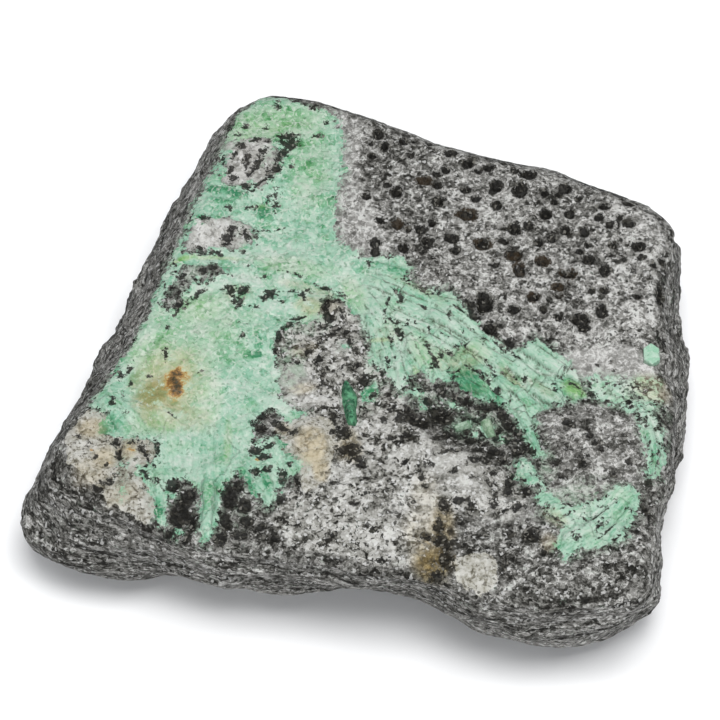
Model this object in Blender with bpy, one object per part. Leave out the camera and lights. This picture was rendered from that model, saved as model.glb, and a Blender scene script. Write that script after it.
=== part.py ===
"""Emerald in matrix: a flat slab of mica schist with emerald and feldspar in its broad face.

Plan sizes are in millimetres, X to the right, Y to the back, Z up. The meshes are made in
metres, with the origin on the ground under the middle of the slab.
"""

import math
import random

import bmesh
import bpy
import numpy as np
from mathutils import Matrix, Vector, noise

MM = 0.001

# ---- driving dimensions, mm ----
FACE_HEIGHT = 20.0       # the broad face above the ground
BELT_HEIGHT = 9.0        # the level where the slab is widest
EDGE_ROUND = 0.8         # how far the rounded edge reaches into the broad face
GAP = 0.3                # clearance between a crystal and its pocket
POCKET_FLOOR = 16.4      # height of the flat floor under the larger crystals
SMALL_POCKET_FLOOR = 17.4
SKY = 30.0               # a height above everything, where cutters end
LEDGE_DEPTH = 1.1        # how far the foliated side steps in and out
LUMP_DEPTH = 0.9
PLAN_CENTRE = (0.89, -1.02)    # the middle of the slab's plan, moved to the origin
LOFT_CENTRE = (3.0, -3.0)    # every section of the slab is seen whole from here

# ---- relief of the broad face, mm: heights of its features, small to large ----
FRACTURES = 0.25
HUMPS = 0.32
WAVES = 0.35
FACETS = 0.5             # steps between the facets of a crystal mass
FACET_WIDTH = 3.1
FACET_LENGTH = 5.3
EDGE_DROP = 0.35         # how far the edge ring lies below the face

# ---- resolution ----
LOFT_ANGLES = 176
FACE_RINGS = 34
SLAB_TRIANGLES_KEPT = 0.205
VEIN_CELL = 2.2
PATCH_CELL = 1.4

# ---- plan outlines of the slab, clockwise from the far left corner, mm ----
FACE_EDGE = [
    (-16.0, 36.6), (-13.5, 38.6), (-10.5, 39.9), (-7.0, 38.9), (-3.5, 38.2), (0.0, 36.7),
    (4.5, 34.4), (8.0, 32.6), (11.0, 31.0), (15.0, 29.9), (19.0, 28.5), (23.0, 27.3),
    (27.5, 26.5), (31.0, 24.4), (34.0, 22.8), (36.5, 21.2), (38.5, 20.1), (40.8, 18.5),
    (41.9, 16.2), (41.5, 12.5), (40.8, 9.5), (40.2, 5.0), (39.9, 0.0), (39.9, -4.0),
    (40.2, -9.0), (40.6, -14.0), (40.2, -18.5), (39.4, -22.5), (38.2, -26.5), (37.2, -30.5),
    (36.8, -35.0), (36.8, -38.5), (36.0, -41.5), (33.0, -42.8), (29.0, -43.6), (25.0, -43.9),
    (20.0, -43.9), (17.0, -43.0), (13.5, -41.6), (10.0, -40.1), (5.0, -39.4), (0.0, -38.6),
    (-5.0, -37.8), (-10.0, -36.7), (-14.0, -35.9), (-18.0, -35.2), (-22.0, -34.0),
    (-25.0, -32.5), (-28.0, -30.6), (-31.0, -29.0), (-34.2, -26.2), (-36.8, -22.5),
    (-37.1, -19.0), (-36.0, -16.0), (-34.4, -13.2), (-32.0, -10.0), (-30.2, -6.0),
    (-28.4, -2.0), (-26.8, 3.0), (-25.2, 8.0), (-23.7, 13.0), (-22.4, 17.0), (-21.1, 21.0),
    (-19.8, 25.0), (-18.5, 29.0), (-17.2, 32.6),
]
BELT_EDGE = [
    (-21.2, 36.8), (-19.0, 40.4), (-13.5, 42.6), (-6.0, 41.0), (0.0, 38.8), (6.0, 36.0),
    (12.0, 33.2), (19.0, 31.0), (26.0, 29.2), (31.0, 27.0), (36.0, 24.0), (40.0, 22.0),
    (42.9, 19.4), (43.3, 15.0), (43.0, 10.0), (43.2, 6.0), (43.9, 2.5), (44.1, 0.0),
    (43.8, -3.0), (43.0, -8.0), (42.0, -12.5), (41.0, -17.0), (40.0, -22.0), (38.9, -27.5),
    (38.3, -32.0), (38.6, -35.3), (37.2, -37.4), (32.0, -40.4), (28.0, -42.1), (24.5, -42.6),
    (20.0, -42.0), (16.0, -41.0), (11.0, -37.8), (6.0, -34.8), (0.0, -33.6), (-5.0, -33.9),
    (-11.0, -34.9), (-18.0, -33.7), (-22.0, -32.4), (-26.0, -31.3), (-30.0, -32.2),
    (-36.0, -30.9), (-39.8, -28.2), (-41.9, -25.2), (-42.1, -22.4), (-40.5, -17.5),
    (-38.2, -10.0), (-34.5, 0.0), (-30.2, 11.0), (-26.8, 21.0), (-23.4, 30.0),
]
FOOT_EDGE = [
    (-16.0, 33.5), (-9.0, 36.0), (-2.0, 33.5), (6.0, 30.5), (16.0, 26.8), (26.0, 23.8),
    (33.0, 20.0), (38.0, 15.5), (39.4, 8.0), (40.0, 0.0), (38.8, -8.0), (37.4, -18.0),
    (36.4, -26.5), (34.8, -31.4), (30.0, -34.4), (24.0, -35.8), (18.5, -33.6), (14.0, -27.0),
    (9.5, -20.5), (3.0, -16.8), (-4.0, -17.5), (-12.0, -22.0), (-20.0, -24.6), (-27.0, -24.4),
    (-33.0, -24.6), (-38.2, -20.4), (-35.8, -12.0), (-31.0, -3.0), (-27.5, 5.0),
    (-24.0, 14.0), (-21.5, 22.0), (-18.8, 29.0),
]

# ---- regions of the broad face, mm ----
PITTED_FIELD = [
    (-1.0, 35.5), (-1.2, 27.0), (-2.8, 19.0), (-2.4, 14.8), (1.2, 11.4), (6.4, 10.8), (8.0, 6.6),
    (12.8, 5.8), (15.6, 1.4), (18.6, -2.4), (21.5, -2.4), (24.0, -2.2), (28.5, -4.0),
    (36.0, -3.0), (39.6, 0.5), (41.0, 10.0), (41.4, 16.0), (34.0, 22.0), (23.0, 26.6),
    (8.0, 31.8),
]
PITTED_LIFT = 0.55

# A swelling or hollow: centre x, centre y, half length, half width, heading in degrees, height.
SWELLINGS = {
    "boss": (29.6, -20.0, 7.4, 6.6, 80.0, 1.05),
    "recess": (14.8, -15.4, 7.6, 4.2, -32.0, -1.55),
    "recess_tail": (18.5, -23.0, 5.2, 2.6, -60.0, -0.7),
    "groove_over_belt": (17.2, -2.2, 5.0, 0.9, -42.0, -0.7),
    "groove_beside_vein": (12.0, 5.4, 4.0, 0.7, -12.0, -0.5),
    "mica_between_fingers": (-21.3, -29.2, 4.6, 1.5, 88.0, -0.7),
    "mica_by_long_finger": (-14.8, -28.8, 4.4, 1.7, 80.0, -0.7),
    "mica_clot_middle": (-10.4, -16.2, 2.4, 1.8, -40.0, -0.6),
    "mica_clot_centre": (-1.7, -0.6, 3.6, 2.0, 70.0, -0.6),
    "gully": (10.8, -32.2, 4.6, 1.0, 80.0, -0.8),
    "front_swell": (2.0, -29.0, 8.5, 6.5, 20.0, 0.35),
    "right_shoulder": (33.0, -6.4, 6.0, 2.2, 4.0, 0.4),
}

# Pits of the field: centre x, centre y, half width, half length.
PITS = [
    (3.3, 31.9, 0.7, 0.9), (6.6, 30.4, 0.6, 0.6), (4.1, 29.5, 0.5, 0.6), (12.9, 28.7, 0.8, 0.9),
    (7.6, 28.0, 0.5, 0.5), (15.1, 26.8, 0.8, 0.8), (17.9, 26.1, 0.8, 0.7),
    (23.2, 25.0, 1.1, 0.9), (22.0, 22.1, 0.9, 1.4), (9.2, 23.6, 0.9, 0.7),
    (11.1, 22.9, 0.7, 0.7), (14.8, 22.2, 0.7, 0.7), (18.9, 22.9, 0.9, 0.9),
    (16.0, 20.6, 0.6, 0.6), (18.9, 19.4, 0.7, 0.7), (11.1, 20.0, 0.8, 0.9),
    (15.0, 17.8, 1.3, 1.0), (25.2, 21.7, 0.6, 0.7), (28.0, 22.6, 0.8, 1.0),
    (26.5, 20.1, 0.5, 0.5), (25.2, 17.9, 0.8, 0.8), (28.4, 18.0, 0.7, 0.8),
    (33.0, 19.2, 0.8, 0.5), (32.2, 17.3, 0.6, 0.6), (36.1, 16.4, 0.8, 0.7),
    (33.6, 15.9, 0.5, 0.6), (30.3, 14.8, 0.7, 0.9), (27.7, 15.2, 0.7, 0.7),
    (26.0, 13.6, 0.6, 0.6), (24.2, 13.0, 0.6, 0.7), (22.9, 15.9, 0.6, 0.8),
    (21.1, 15.4, 0.7, 1.0), (19.7, 13.3, 0.8, 0.5), (16.8, 12.8, 1.1, 1.0),
    (12.8, 13.8, 0.9, 0.9), (13.2, 11.6, 0.6, 0.5), (9.6, 13.0, 0.7, 0.6),
    (8.8, 15.1, 0.8, 0.6), (5.6, 16.0, 0.7, 0.8), (3.4, 16.7, 0.5, 0.5),
    (6.5, 12.1, 0.7, 0.8), (2.8, 13.0, 0.7, 0.7), (5.7, 21.7, 0.8, 0.9), (1.6, 20.9, 0.5, 0.5),
    (33.8, 12.5, 0.7, 0.6), (37.2, 12.2, 0.8, 0.8), (30.6, 10.0, 0.9, 0.8),
    (30.6, 12.5, 0.4, 0.4), (20.8, 10.8, 1.1, 1.0), (21.6, 8.3, 0.8, 1.1),
    (24.5, 9.9, 0.9, 0.8), (18.4, 9.3, 0.7, 0.6), (32.6, 8.1, 0.7, 1.0),
    (27.8, 7.6, 1.1, 0.7), (26.5, 5.4, 0.8, 0.7), (23.3, 3.9, 0.9, 0.7),
    (32.5, 4.7, 0.6, 0.6), (36.8, 3.9, 0.5, 0.5), (26.5, 0.8, 0.6, 0.6),
    (29.2, 0.3, 1.2, 1.0), (31.9, 1.6, 0.7, 1.1), (20.6, 1.8, 0.8, 0.7), (16.9, 3.0, 1.0, 1.6),
]
PIT_DEPTH = 1.1
PIT_SIDES = 6
PIT_RISE = 1.2           # how far a pit's cutter stands out of the face
PIT_FLOOR = 0.55         # radius of a pit's floor and of its cutter's top, per unit of half width
PIT_TOP = 1.2

# ---- crystals, plan outlines clockwise, mm ----
VEIN = [
    # the back of the far left block
    (-14.8, 35.6), (-13.0, 37.2), (-10.6, 38.2), (-7.6, 37.4), (-4.8, 36.2), (-2.2, 34.2),
    # its right side, down to the neck
    (-1.4, 30.0), (-1.6, 25.0), (-2.8, 20.0), (-3.0, 16.0), (-1.4, 13.0), (1.6, 10.2),
    (4.2, 10.8), (6.8, 9.8), (6.4, 7.0), (9.6, 4.9), (12.4, 5.2), (14.2, 2.6),
    # the upper edge of the belt
    (16.4, -0.8), (20.2, -4.8), (21.4, -4.2), (23.2, -2.7), (25.6, -4.8), (27.6, -7.2),
    (27.8, -8.9), (29.8, -11.6), (29.0, -12.8), (27.4, -12.6), (27.0, -14.2), (24.6, -13.8),
    # the belt's tail and its lower edge
    (22.9, -15.4), (23.3, -18.6), (24.0, -21.4), (23.1, -21.6), (21.2, -17.6), (20.2, -14.0),
    (17.6, -13.0), (15.4, -11.6), (12.6, -10.2), (11.6, -9.0), (8.2, -8.4), (6.2, -11.2),
    (4.6, -9.6), (2.2, -6.0), (1.6, -2.6), (0.4, 1.0), (-1.2, 3.6), (-3.6, 4.2),
    # the lobe's right side
    (-5.4, 1.6), (-8.4, -0.6), (-10.2, -4.0), (-10.0, -9.0), (-9.6, -12.6), (-6.6, -14.9),
    (-8.6, -15.6), (-10.4, -14.2), (-12.0, -15.0), (-12.4, -18.6), (-11.2, -18.8),
    (-9.8, -18.0), (-8.4, -20.6), (-6.8, -22.2), (-7.6, -26.4), (-9.6, -27.8),
    (-10.2, -29.8), (-11.4, -28.6),
    # between the dark crystals and the long finger, then the long finger
    (-13.2, -26.8), (-14.9, -24.2), (-16.2, -27.0), (-16.9, -30.6), (-17.2, -33.0),
    (-18.4, -34.0), (-19.3, -32.8), (-18.9, -29.4), (-19.6, -25.8), (-22.8, -24.9),
    # the short finger
    (-23.2, -28.6), (-23.4, -31.2), (-24.5, -30.6), (-24.9, -27.8), (-27.2, -24.0),
    (-24.9, -22.4), (-25.0, -19.2),
    # the lobe's left side, out to the slab's edge
    (-28.4, -18.6), (-31.8, -17.8), (-31.2, -15.2), (-33.0, -13.4), (-31.9, -11.6),
    (-29.4, -7.0), (-27.3, -1.6), (-25.7, 3.4), (-24.1, 8.4), (-22.6, 13.4), (-21.3, 17.4),
    (-20.0, 21.4), (-18.7, 25.4), (-17.4, 29.4), (-16.2, 32.6),
]
PATCHES = {
    "emerald_right_band": [
        (32.0, -10.6), (34.2, -10.4), (36.6, -10.9), (37.0, -13.2), (37.9, -15.9), (38.9, -18.4),
        (38.9, -20.4), (38.4, -22.6), (37.2, -24.6), (36.3, -24.4), (36.9, -21.4),
        (36.2, -18.4), (35.9, -14.6), (34.6, -12.6),
    ],
    "emerald_front_patch": [
        (23.4, -26.2), (25.4, -28.2), (28.0, -29.4), (30.4, -28.6), (32.4, -26.8),
        (35.0, -26.8), (35.4, -28.6), (34.2, -31.6), (33.2, -34.4), (30.4, -35.5),
        (28.0, -35.6), (26.0, -36.6), (24.9, -35.4), (25.2, -33.6), (26.0, -32.4),
        (23.4, -30.2),
    ],
    "emerald_recess_large": [
        (20.2, -21.8), (22.2, -22.6), (22.8, -24.9), (21.8, -26.0), (20.9, -24.9),
    ],
    "feldspar_left": [
        (-33.9, -14.2), (-30.0, -15.0), (-27.0, -17.0), (-24.4, -19.0), (-24.0, -24.0),
        (-24.6, -29.0), (-25.4, -30.9), (-27.8, -29.6), (-30.6, -28.0), (-32.6, -25.2),
        (-35.4, -22.4), (-36.0, -19.6), (-35.2, -16.6),
    ],
    "feldspar_middle": [
        (-7.4, -16.9), (-5.4, -16.1), (-4.0, -16.0), (-3.1, -18.0), (-2.7, -21.6),
        (-3.8, -24.6), (-4.9, -26.0), (-6.0, -25.0), (-6.1, -22.6), (-8.2, -20.0),
    ],
    "feldspar_nodule": [
        (12.6, -37.4), (14.0, -36.4), (16.0, -36.3), (17.4, -37.6), (17.6, -39.4),
        (16.9, -41.0), (15.2, -41.4), (13.2, -40.4), (12.4, -39.0),
    ],
}
PATCH_LIFT = {
    "emerald_right_band": 0.15,
    "emerald_front_patch": 0.3,
    "emerald_recess_large": 0.9,
    "feldspar_left": 0.25,
    "feldspar_middle": 0.45,
    "feldspar_nodule": 0.7,
}

# Prisms fused to a mass: middle x, middle y, length, width, heading in degrees.
VEIN_PRISMS = [
    (5.6, 4.8, 7.0, 2.6, -40.0), (8.9, 1.2, 7.0, 2.4, -42.0), (12.6, -0.6, 6.4, 2.2, -40.0),
    (9.0, -3.9, 6.4, 2.4, -54.0), (12.2, -5.0, 6.2, 2.2, -48.0), (15.4, -7.0, 7.2, 2.3, -46.0),
    (17.6, -4.9, 6.4, 2.2, -42.0), (19.4, -9.8, 5.6, 2.0, -44.0), (21.6, -7.4, 5.2, 2.3, -38.0),
    (24.4, -6.2, 6.2, 2.8, -42.0), (15.2, -10.1, 4.4, 1.8, -38.0), (24.0, -11.0, 6.2, 2.7, -46.0),
    (27.6, -10.9, 3.8, 2.0, -32.0), (22.0, -16.2, 7.4, 1.9, -66.0), (5.0, -4.2, 5.6, 2.3, -72.0),
    (6.3, -8.2, 5.0, 1.9, -72.0), (-18.1, -29.6, 8.6, 1.7, -89.0), (-24.1, -28.4, 5.6, 1.0, -84.0),
    (-12.9, -25.7, 6.6, 1.8, -60.0), (-10.2, -26.2, 6.4, 1.9, -72.0), (-9.4, -21.6, 5.4, 1.8, -66.0),
    (-17.2, 22.4, 5.0, 1.7, -14.0), (-12.3, 19.2, 2.0, 1.8, 60.0),
]
PATCH_PRISMS = {
    "emerald_front_patch": [
        (31.0, -30.5, 6.4, 1.5, 44.0), (33.0, -31.6, 4.2, 1.4, 58.0), (28.2, -33.4, 4.4, 1.6, 36.0),
    ],
    "emerald_right_band": [(37.8, -19.6, 4.6, 1.3, -76.0)],
    "emerald_recess_large": [(21.6, -23.9, 3.4, 1.7, -66.0)],
}
# Crystals that lie alone: middle x, middle y, length, width, heading, tilt, height of middle.
LONE_PRISMS = {
    "emerald_dark_prism": (-0.55, -12.9, 7.4, 1.7, -83.0, -3.0, 19.5),
    "emerald_recess_small_1": (13.7, -15.9, 2.4, 1.5, 30.0, 8.0, 18.9),
    "emerald_recess_small_2": (17.1, -16.3, 2.9, 1.8, -70.0, 10.0, 18.8),
}
# The six-sided crystal that stands upright in the face: middle x, middle y, half width, half
# length, and how far its flat end stands proud.
HEXAGONAL = (38.1, -5.3, 1.25, 1.85, 0.55)

# ---- colours: base colour, roughness ----
FINISHES = {
    "schist": ((0.11, 0.105, 0.105), 0.75),
    "emerald": ((0.30, 0.62, 0.42), 0.38),
    "emerald_dark": ((0.03, 0.26, 0.14), 0.35),
    "feldspar": ((0.62, 0.57, 0.47), 0.65),
}


# ---- plan curves ----
def smooth_loop(points, steps=6):
    """A closed Catmull-Rom curve through the points, as an array of plan points."""
    ring = np.array(points, dtype=float)
    before, after, far = np.roll(ring, 1, 0), np.roll(ring, -1, 0), np.roll(ring, -2, 0)
    pieces = []
    for t in np.arange(steps) / steps:
        pieces.append(0.5 * (2 * ring + (after - before) * t
                             + (2 * before - 5 * ring + 4 * after - far) * t ** 2
                             + (3 * ring - before - 3 * after + far) * t ** 3))
    return np.stack(pieces, axis=1).reshape(-1, 2)


def radii(outline, angles):
    """Distance of a closed outline from LOFT_CENTRE at each angle."""
    offset = smooth_loop(outline) - LOFT_CENTRE
    heading = np.arctan2(offset[:, 1], offset[:, 0])
    order = np.argsort(heading)
    return np.interp(angles, heading[order], np.hypot(offset[:, 0], offset[:, 1])[order],
                     period=2 * math.pi)


def inside(x, y, outline):
    """Whether a plan point is inside an outline."""
    hit = False
    for (x0, y0), (x1, y1) in zip(outline, outline[1:] + outline[:1]):
        if (y0 > y) != (y1 > y) and x < x0 + (y - y0) * (x1 - x0) / (y1 - y0):
            hit = not hit
    return hit


def distance_to(x, y, outline):
    """Shortest plan distance from a point to an outline."""
    start = np.array(outline)
    along = np.roll(start, -1, 0) - start
    away = np.array((x, y)) - start
    share = np.clip((away * along).sum(1) / (along ** 2).sum(1), 0.0, 1.0)
    return float(np.hypot(*(away - along * share[:, None]).T).min())


def grown(outline, width):
    """The outline moved outward by a width, corner by corner."""
    ring = np.array(outline, dtype=float)
    ahead = np.roll(ring, -1, 0) - ring
    ahead /= np.hypot(*ahead.T)[:, None]
    behind = np.roll(ahead, 1, 0)
    normal = np.stack((-(ahead + behind)[:, 1], (ahead + behind)[:, 0]), axis=1)
    normal /= np.hypot(*normal.T)[:, None]
    spread = np.clip((normal * np.stack((-ahead[:, 1], ahead[:, 0]), axis=1)).sum(1), 0.5, 1.0)
    return ring + normal * (width / spread)[:, None]


# ---- relief of the broad face ----
def swelling(x, y, spec):
    """Height that one swelling or hollow adds at a plan point."""
    cx, cy, length, width, heading, height = spec
    turn = math.radians(heading)
    dx, dy = x - cx, y - cy
    along = (dx * math.cos(turn) + dy * math.sin(turn)) / length
    across = (dy * math.cos(turn) - dx * math.sin(turn)) / width
    reach = along * along + across * across
    return height * (1 - reach) ** 2 * (1 + 2 * reach) if reach < 1 else 0.0


def rough(x, y, size, seed):
    """Smooth noise between about -1 and 1 with features of a given size in mm."""
    return noise.fractal(Vector((x / size, y / size, seed)), 1.0, 2.0, 3)


def face_height(x, y):
    """Height of the broad face at a plan point."""
    height = FACE_HEIGHT + WAVES * rough(x, y, 16.0, 3.1) + HUMPS * rough(x, y, 4.5, 7.7)
    if inside(x, y, PITTED_FIELD):
        height += PITTED_LIFT * min(1.0, distance_to(x, y, PITTED_FIELD) / 1.2)
    return height + sum(swelling(x, y, spec) for spec in SWELLINGS.values())


def crystal_height(x, y):
    """Height of a mass of crystal: the face with small tilted facets."""
    facet = noise.cell(Vector(((x + 0.4 * y) / FACET_WIDTH, y / FACET_LENGTH, 2.5)))
    return face_height(x, y) + FACETS * facet + FRACTURES * rough(x, y, 2.2, 11.3)


# ---- objects ----
def collection(name):
    made = bpy.data.collections.new(name)
    bpy.context.scene.collection.children.link(made)
    return made


def material(name):
    colour, roughness = FINISHES[name]
    made = bpy.data.materials.new(name)
    made.use_nodes = True
    shader = made.node_tree.nodes["Principled BSDF"]
    shader.inputs["Base Color"].default_value = (*colour, 1.0)
    shader.inputs["Roughness"].default_value = roughness
    made.diffuse_color = (*colour, 1.0)
    return made


def add_object(name, bm, home, finish=None):
    """An object from a bmesh in plan millimetres, moved to the origin and made metres."""
    bmesh.ops.recalc_face_normals(bm, faces=bm.faces)
    middle = Vector((*PLAN_CENTRE, 0.0))
    bm.transform(Matrix.Scale(MM, 4) @ Matrix.Translation(-middle))
    mesh = bpy.data.meshes.new(name)
    bm.to_mesh(mesh)
    bm.free()
    made = bpy.data.objects.new(name, mesh)
    home.objects.link(made)
    if finish:
        mesh.materials.append(finish)
    else:
        made.hide_render = True
        made.display_type = "WIRE"
    return made


def boolean(target, cutter, operation):
    step = target.modifiers.new(f"{operation.lower()} {cutter.name}", "BOOLEAN")
    step.operation = operation
    step.solver = "EXACT"
    step.use_self = True
    step.object = cutter


def outline_prism(outline, low, high):
    """A bmesh of an outline drawn up from one height to another."""
    bm = bmesh.new()
    floor = bm.faces.new([bm.verts.new((x, y, low)) for x, y in outline])
    walls = bmesh.ops.extrude_face_region(bm, geom=[floor])["geom"]
    lift = [item for item in walls if isinstance(item, bmesh.types.BMVert)]
    bmesh.ops.translate(bm, verts=lift, vec=(0, 0, high - low))
    return bm


def relief_block(outline, cell, floor, height_at):
    """A bmesh block over an outline's box, flat below and shaped by height_at above."""
    low, high = np.min(outline, 0) - 2 * cell, np.max(outline, 0) + 2 * cell
    counts = np.ceil((high - low) / cell).astype(int)
    bm = bmesh.new()
    bmesh.ops.create_grid(bm, x_segments=int(counts[0]), y_segments=int(counts[1]), size=0.5)
    drawn = bmesh.ops.extrude_face_region(bm, geom=bm.faces[:])["geom"]
    tops = {item for item in drawn if isinstance(item, bmesh.types.BMVert)}
    for vert in bm.verts:
        x, y = low + (np.array(vert.co[:2]) + 0.5) * (high - low)
        vert.co = (x, y, height_at(x, y) if vert in tops else floor)
    return bm


def hexagonal_prism(bm, x, y, length, width, heading, tilt=0.0, height=None, lift=0.25):
    """Adds a six-sided prism lying along its heading, one flat side up."""
    middle = crystal_height(x, y) + lift - width * 0.43 if height is None else height
    place = (Matrix.Translation((x, y, middle))
             @ Matrix.Rotation(math.radians(heading), 4, "Z")
             @ Matrix.Rotation(math.radians(90.0 + tilt), 4, "Y"))
    bmesh.ops.create_cone(bm, cap_ends=True, segments=6, radius1=width / 2, radius2=width / 2,
                          depth=length, matrix=place)


# ---- the slab ----
def slab_section(share, foot, belt, face, rise):
    """Radius and height of the slab's side at a share of the way up, for one angle."""
    height = share * rise
    if height < BELT_HEIGHT:
        part = height / BELT_HEIGHT
        return foot + (belt - foot) * (1 - (1 - part) ** 1.35), height
    part = (height - BELT_HEIGHT) / (rise - BELT_HEIGHT)
    if face < belt:
        return belt + (face - belt) * part ** 1.5, height
    return belt + (face - belt) * (1 - (1 - part) ** 1.8), height


def slab_mesh():
    """The slab as rings: up the foliated side, over the edge and in across the face."""
    angles = np.arange(LOFT_ANGLES) * 2 * math.pi / LOFT_ANGLES - math.pi
    foot, belt, face = (radii(edge, angles) for edge in (FOOT_EDGE, BELT_EDGE, FACE_EDGE))
    turns = np.stack((np.cos(angles), np.sin(angles)), axis=1)
    rise = [face_height(*(LOFT_CENTRE + turn * r)) - EDGE_DROP
            for turn, r in zip(turns, face)]
    bm = bmesh.new()
    rings = []

    def add_ring(points):
        rings.append([bm.verts.new(point) for point in points])

    for share in (-0.03, 0.02, 0.09, 0.18, 0.27, 0.36, 0.45, 0.54, 0.63, 0.72, 0.81, 0.9, 1.0):
        points = []
        for i, turn in enumerate(turns):
            radius, height = slab_section(max(share, 0.0), foot[i], belt[i], face[i], rise[i])
            x, y = LOFT_CENTRE + turn * radius
            ledge = noise.noise(Vector((x / 9.0, y / 9.0, height / 1.7)))
            lump = noise.noise(Vector((x / 5.0, y / 5.0, height / 5.0 + 9.0)))
            fade = 0.4 if share >= 1.0 else 1.0
            x, y = LOFT_CENTRE + turn * (radius + fade * (LEDGE_DEPTH * ledge + LUMP_DEPTH * lump))
            points.append((x, y, height if share > 0 else share * rise[i]))
        add_ring(points)
    for step in range(FACE_RINGS):
        points = []
        for i, turn in enumerate(turns):
            reach = (face[i] - EDGE_ROUND) * (1 - step / FACE_RINGS)
            x, y = LOFT_CENTRE + turn * reach
            points.append((x, y, face_height(x, y)))
        add_ring(points)
    for lower, upper in zip(rings, rings[1:]):
        for i in range(LOFT_ANGLES):
            j = (i + 1) % LOFT_ANGLES
            bm.faces.new((lower[i], lower[j], upper[j], upper[i]))
    bm.faces.new(rings[0][::-1])
    crown = bm.verts.new((*LOFT_CENTRE, face_height(*LOFT_CENTRE)))
    for i in range(LOFT_ANGLES):
        bm.faces.new((rings[-1][i], rings[-1][(i + 1) % LOFT_ANGLES], crown))
    return bm


def pit_mesh():
    """All pits as one cutter: short tapered cones, wide above the face."""
    bm = bmesh.new()
    shuffle = random.Random(5)
    for x, y, half_width, half_length in PITS:
        size = Matrix.Diagonal((half_width, half_length, 1.0, 1.0))
        depth = PIT_DEPTH * shuffle.uniform(0.8, 1.2)
        place = (Matrix.Translation((x, y, face_height(x, y) + (PIT_RISE - depth) / 2))
                 @ size @ Matrix.Rotation(shuffle.uniform(0, 1), 4, "Z"))
        bmesh.ops.create_cone(bm, cap_ends=True, segments=PIT_SIDES, radius1=PIT_FLOOR,
                              radius2=PIT_TOP, depth=depth + PIT_RISE, matrix=place)
    return bm


def ground_mesh():
    """A block below the ground, which cuts the slab's flat resting facet."""
    bm = bmesh.new()
    bmesh.ops.create_cube(bm, size=1.0, matrix=Matrix.Translation((0, 0, -5.0))
                          @ Matrix.Diagonal((120.0, 120.0, 10.0, 1.0)))
    return bm


# ---- the model ----
def clear_scene():
    for old in list(bpy.data.objects):
        bpy.data.objects.remove(old)


def make_pocket(matrix, name, outline, floor, cutters):
    pocket = add_object(f"{name}_pocket", outline_prism(grown(outline, GAP), floor - GAP, SKY),
                        cutters)
    boolean(matrix, pocket, "DIFFERENCE")
    return pocket


def make_mass(name, outline, cell, floor, lift, prisms, home, cutters, finish):
    """A mass of crystal: a relief block with its prisms fused on, trimmed to its outline."""
    block = relief_block(outline, cell, floor, lambda x, y: crystal_height(x, y) + lift)
    mass = add_object(name, block, home, finish)
    if prisms:
        bm = bmesh.new()
        for prism in prisms:
            hexagonal_prism(bm, *prism)
        boolean(mass, add_object(f"{name}_prisms", bm, cutters), "UNION")
    trim = add_object(f"{name}_outline", outline_prism(outline, floor - 5.0, SKY), cutters)
    boolean(mass, trim, "INTERSECT")
    return mass


def prism_plan(x, y, length, width, heading):
    """Plan rectangle of a lone prism, clockwise."""
    turn = math.radians(heading)
    ahead = np.array((math.cos(turn), math.sin(turn))) * length / 2
    aside = np.array((-math.sin(turn), math.cos(turn))) * width / 2
    middle = np.array((x, y))
    return [tuple(middle + a * ahead + b * aside) for a, b in ((-1, 1), (1, 1), (1, -1), (-1, -1))]


def build():
    clear_scene()
    home, cutters = collection("emerald_in_matrix"), collection("cutters")
    finishes = {name: material(name) for name in FINISHES}

    matrix = add_object("matrix", slab_mesh(), home, finishes["schist"])
    thin = matrix.modifiers.new("fewer faces", "DECIMATE")
    thin.ratio = SLAB_TRIANGLES_KEPT
    boolean(matrix, add_object("ground", ground_mesh(), cutters), "DIFFERENCE")
    boolean(matrix, add_object("pits", pit_mesh(), cutters), "DIFFERENCE")

    vein_pocket = make_pocket(matrix, "emerald_vein", VEIN, POCKET_FLOOR, cutters)
    make_mass("emerald_vein", VEIN, VEIN_CELL, POCKET_FLOOR, 0.1, VEIN_PRISMS, home, cutters,
              finishes["emerald"])

    for name, outline in PATCHES.items():
        make_pocket(matrix, name, outline, SMALL_POCKET_FLOOR, cutters)
        finish = finishes["emerald" if name.startswith("emerald") else "feldspar"]
        patch = make_mass(name, outline, PATCH_CELL, SMALL_POCKET_FLOOR, PATCH_LIFT[name],
                          PATCH_PRISMS.get(name), home, cutters, finish)
        if name.startswith("feldspar"):
            boolean(patch, vein_pocket, "DIFFERENCE")

    x, y, half_width, half_length, proud = HEXAGONAL
    hexagon = [(x + half_width * math.sin(turn), y + half_length * math.cos(turn))
               for turn in np.arange(6) * math.pi / 3]
    make_pocket(matrix, "emerald_hexagonal", hexagon, SMALL_POCKET_FLOOR, cutters)
    bm = outline_prism(hexagon, SMALL_POCKET_FLOOR, face_height(x, y) + proud)
    add_object("emerald_hexagonal", bm, home, finishes["emerald"])

    for name, (x, y, length, width, heading, tilt, height) in LONE_PRISMS.items():
        plan = prism_plan(x, y, length, width, heading)
        make_pocket(matrix, name, plan, height - width / 2 - 0.35, cutters)
        bm = bmesh.new()
        hexagonal_prism(bm, x, y, length, width, heading, tilt, height)
        dark = name == "emerald_dark_prism"
        add_object(name, bm, home, finishes["emerald_dark" if dark else "emerald"])


build()
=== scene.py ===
"""Emerald in matrix: the dressed model. Plan sizes are in mm of the slab's own plan (X right,
Y back, Z up); PLAN_CENTRE is the plan point that lies over the row's origin."""
import itertools
import math
from types import SimpleNamespace

import bmesh
import bpy
import numpy as np
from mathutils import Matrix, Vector
from mathutils.bvhtree import BVHTree
from mathutils.geometry import delaunay_2d_cdt


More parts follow.
